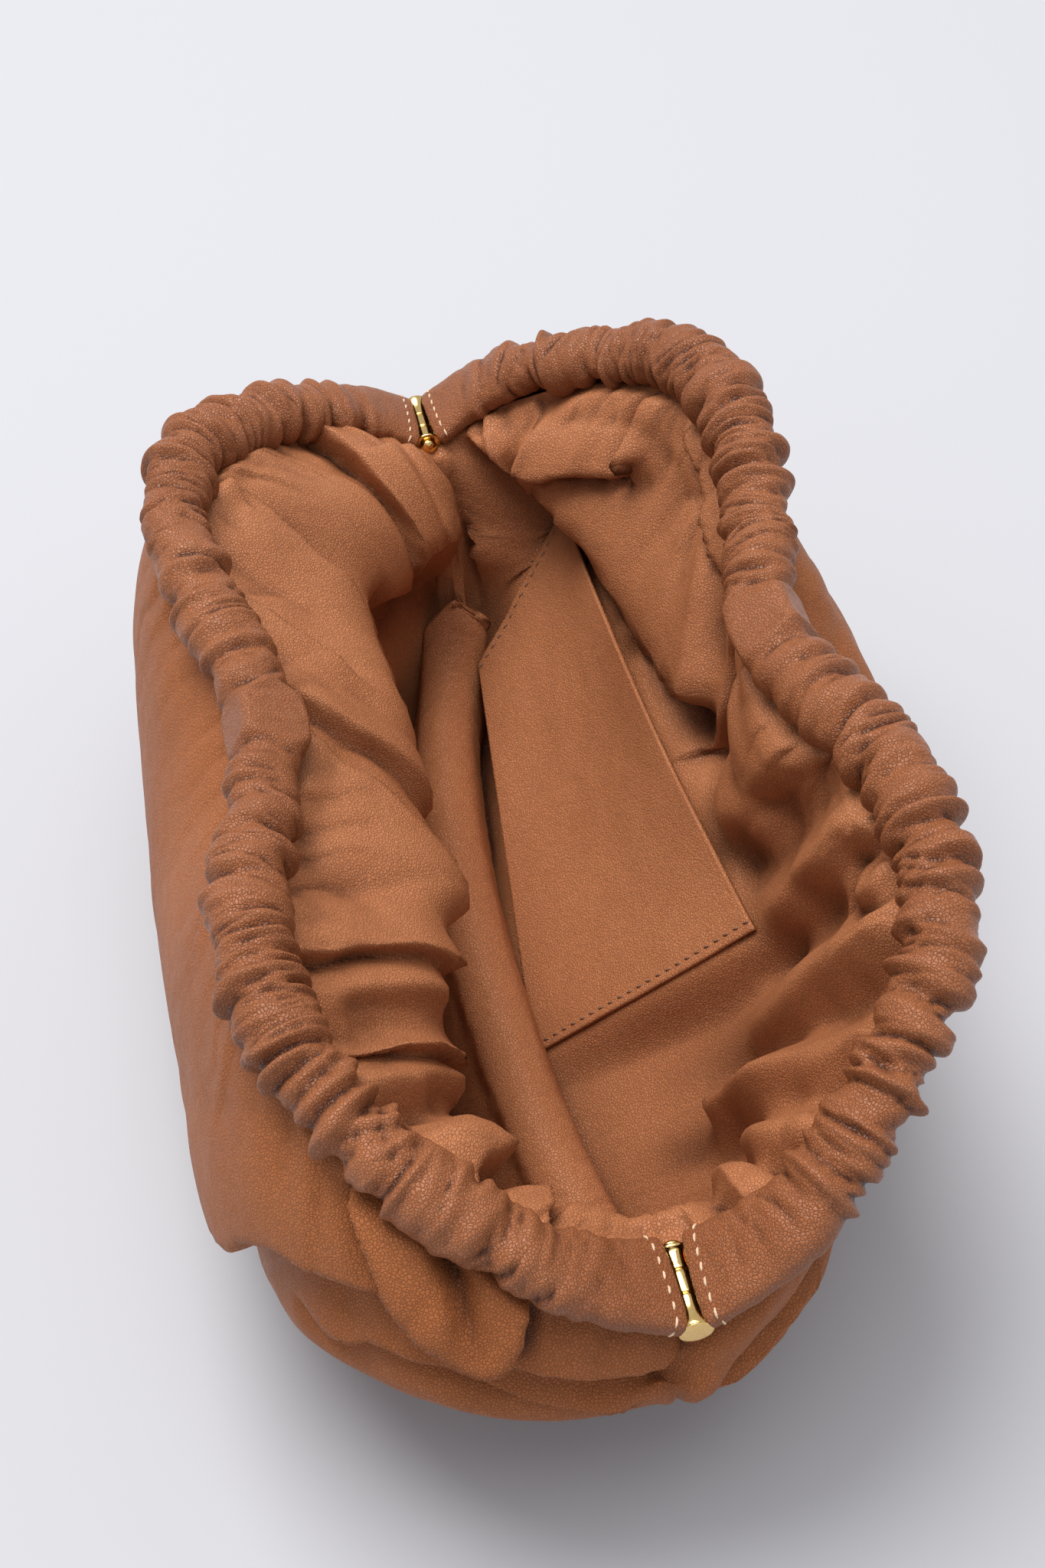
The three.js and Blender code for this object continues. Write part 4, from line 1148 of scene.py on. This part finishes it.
def leather(name, tintAndPaintedLight, roughness=0.0, specular=0.2):
    # tan nappa: two browns in soft clouds, painted shade in the hollows after the crease attribute, pebble
    # grain from warped cells, wrinkles, soft gloss
    look = leatherLook
    material, nodes, links = nodesOf(name)
    coords = nodes.new("ShaderNodeTexCoord").outputs["Object"]
    clouds = noiseNode(nodes, links, coords, look["clouds"], 4.0, 0.55)
    deep, pale = (tuple(c * t for c, t in zip(look[key], tintAndPaintedLight)) for key in ("deep", "pale"))
    base = rampNode(nodes, links, clouds.outputs["Fac"], [(0.3, deep), (0.72, pale)])
    # painted shade: the crease attribute, high in hollows, mixes the colour towards the dark crease colour
    crease = nodes.new("ShaderNodeAttribute")
    crease.attribute_name = "crease"
    paintedShade = mixColour(nodes, links, "MIX", crease.outputs["Fac"], base, look["crease"])
    warp = noiseNode(nodes, links, coords, look["warp"], 2.0, 0.5)
    stray = nodes.new("ShaderNodeVectorMath")
    stray.operation = "MULTIPLY_ADD"
    links.new(warp.outputs["Color"], stray.inputs[0])
    stray.inputs[1].default_value = (look["stray"],) * 3
    links.new(coords, stray.inputs[2])
    pores = nodes.new("ShaderNodeTexVoronoi")
    pores.feature = "DISTANCE_TO_EDGE"
    pores.inputs["Scale"].default_value = look["pebble"]
    links.new(stray.outputs[0], pores.inputs["Vector"])
    edges = [(0.0, (0, 0, 0)), (0.11, (0.72, 0.72, 0.72)), (0.3, (1, 1, 1))]
    cells = rampNode(nodes, links, pores.outputs["Distance"], edges)
    tone = mixColour(nodes, links, "MULTIPLY", look["pore"], paintedShade, cells)
    wrinkle = noiseNode(nodes, links, coords, look["wrinkle"], 5.0, 0.62, 0.7).outputs["Fac"]
    heights = nodes.new("ShaderNodeMath")
    heights.operation = "MULTIPLY_ADD"
    links.new(wrinkle, heights.inputs[0])
    heights.inputs[1].default_value = look["wrinkleRise"]
    links.new(cells, heights.inputs[2])
    bump = nodes.new("ShaderNodeBump")
    bump.inputs["Strength"].default_value = 0.85
    bump.inputs["Distance"].default_value = look["grain"]
    links.new(heights.outputs[0], bump.inputs["Height"])
    middle = look["roughness"] + roughness
    gloss = rangeNode(nodes, links, wrinkle, (0.3, 0.7), (middle - 0.06, middle + 0.08))
    surface(nodes, links, {"Base Color": tone, "Roughness": gloss, "Normal": bump.outputs["Normal"]},
            {"Specular IOR Level": specular})
    return material


def brass(name):
    # polished gold-coloured brass with a faint haze of fine scratches
    material, nodes, links = nodesOf(name)
    coords = nodes.new("ShaderNodeTexCoord").outputs["Object"]
    haze = noiseNode(nodes, links, coords, 900.0, 3.0, 0.6).outputs["Fac"]
    colour = rampNode(nodes, links, haze, [(0.3, (0.78, 0.50, 0.17)), (0.7, (0.86, 0.60, 0.24))])
    gloss = rangeNode(nodes, links, haze, (0.0, 1.0), (0.1, 0.2))
    surface(nodes, links, {"Base Color": colour, "Roughness": gloss}, {"Metallic": 1.0})
    return material


def plain(name, low, high, scale, roughness, metallic=0.0):
    # one colour broken up by noise, for thread and steel
    material, nodes, links = nodesOf(name)
    coords = nodes.new("ShaderNodeTexCoord").outputs["Object"]
    cloud = noiseNode(nodes, links, coords, scale, 3.0, 0.6).outputs["Fac"]
    colour = rampNode(nodes, links, cloud, [(0.3, low), (0.7, high)])
    surface(nodes, links, {"Base Color": colour}, {"Roughness": roughness, "Metallic": metallic})
    return material


outerLeather = leather("tan_leather", (1.02, 0.92, 0.78), roughness=0.06, specular=0.14)
sleeveLeather = leather("tan_sleeve_leather", (0.86, 0.8, 0.76), roughness=-0.03, specular=0.3)
# the lining's tint is lighter than the others' partly to stand in for light inside the bag: painted light
liningLeather = leather("tan_lining_leather", (1.24, 1.27, 1.32), roughness=0.02, specular=0.24)
goldBrass = brass("polished_brass")
paleThread = plain("pale_thread", (0.55, 0.36, 0.22), (0.75, 0.55, 0.38), 1500.0, 0.6)
brownThread = plain("brown_thread", (0.16, 0.07, 0.035), (0.24, 0.11, 0.06), 1500.0, 0.6)
dullSteel = plain("plated_steel", (0.4, 0.4, 0.41), (0.55, 0.55, 0.56), 300.0, 0.35, 1.0)
for piece in (nearBarrel, farBarrel):
    piece.data.materials.append(goldBrass)
tabThread.data.materials.append(paleThread)
pocketThread.data.materials.append(brownThread)
outerBody.data.materials.append(outerLeather)
for piece in (frontSleeve, backSleeve):
    piece.data.materials.append(sleeveLeather)
for piece in (liningSheet, pocketPanel):
    piece.data.materials.append(liningLeather)


def dress(node, material):
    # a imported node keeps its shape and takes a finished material
    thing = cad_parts[node]
    thing.data.materials.clear()
    thing.data.materials.append(material)


for node in ("front_frame", "back_frame"):
    dress(node, goldBrass)
for node in ("front_magnet", "back_magnet"):
    dress(node, dullSteel)
print("materials given")


# floor and light
stageLook = {
    "reach": 6.0,            # m from the middle to the floor's edge
    "floor": (0.47, 0.472, 0.495),
    "sky": (0.92, 0.95, 1.0),
    "skyStrength": 0.62,
    "lookAt": (0.0, 0.0, 0.08),      # m, where the lamps point
}
reach = stageLook["reach"]
corners = [(-reach, -reach, 0), (reach, -reach, 0), (reach, reach, 0), (-reach, reach, 0)]
floorMesh = bpy.data.meshes.new("floor")
floorMesh.from_pydata(corners, [], [(0, 1, 2, 3)])
floor = bpy.data.objects.new("floor", floorMesh)
scene.collection.objects.link(floor)
floorMaterial, floorNodes, floorLinks = nodesOf("pale_floor")
surface(floorNodes, floorLinks, {},
        {"Base Color": (*stageLook["floor"], 1), "Roughness": 0.9, "Specular IOR Level": 0.1})
floorMesh.materials.append(floorMaterial)

world = bpy.data.worlds.new("studio")
world.use_nodes = True
sky = world.node_tree.nodes["Background"]
sky.inputs["Color"].default_value = (*stageLook["sky"], 1)
sky.inputs["Strength"].default_value = stageLook["skyStrength"]
scene.world = world

# name, place in metres, size, power, colour
lampLook = [
    ("window", (-0.8, -0.5, 2.8), 1.9, 84.0, (1.0, 0.985, 0.97)),
    ("fill", (0.25, 0.1, 2.9), 2.0, 30.0, (1.0, 0.99, 0.98)),
]
for name, place, size, power, colour in lampLook:
    lampData = bpy.data.lights.new(name, "AREA")
    lampData.shape, lampData.size = "DISK", size
    lampData.energy, lampData.color = power, colour
    lamp = bpy.data.objects.new(name, lampData)
    scene.collection.objects.link(lamp)
    away = unit(np.array(place) - np.array(stageLook["lookAt"]))
    sideways = unit(np.cross((0, 0, 1.0), away))
    pose = np.eye(4)
    pose[:3, 0], pose[:3, 1], pose[:3, 2], pose[:3, 3] = sideways, np.cross(away, sideways), away, place
    lamp.matrix_world = Matrix(pose.tolist())
scene.view_settings.view_transform = "Standard"
print("stage lit")
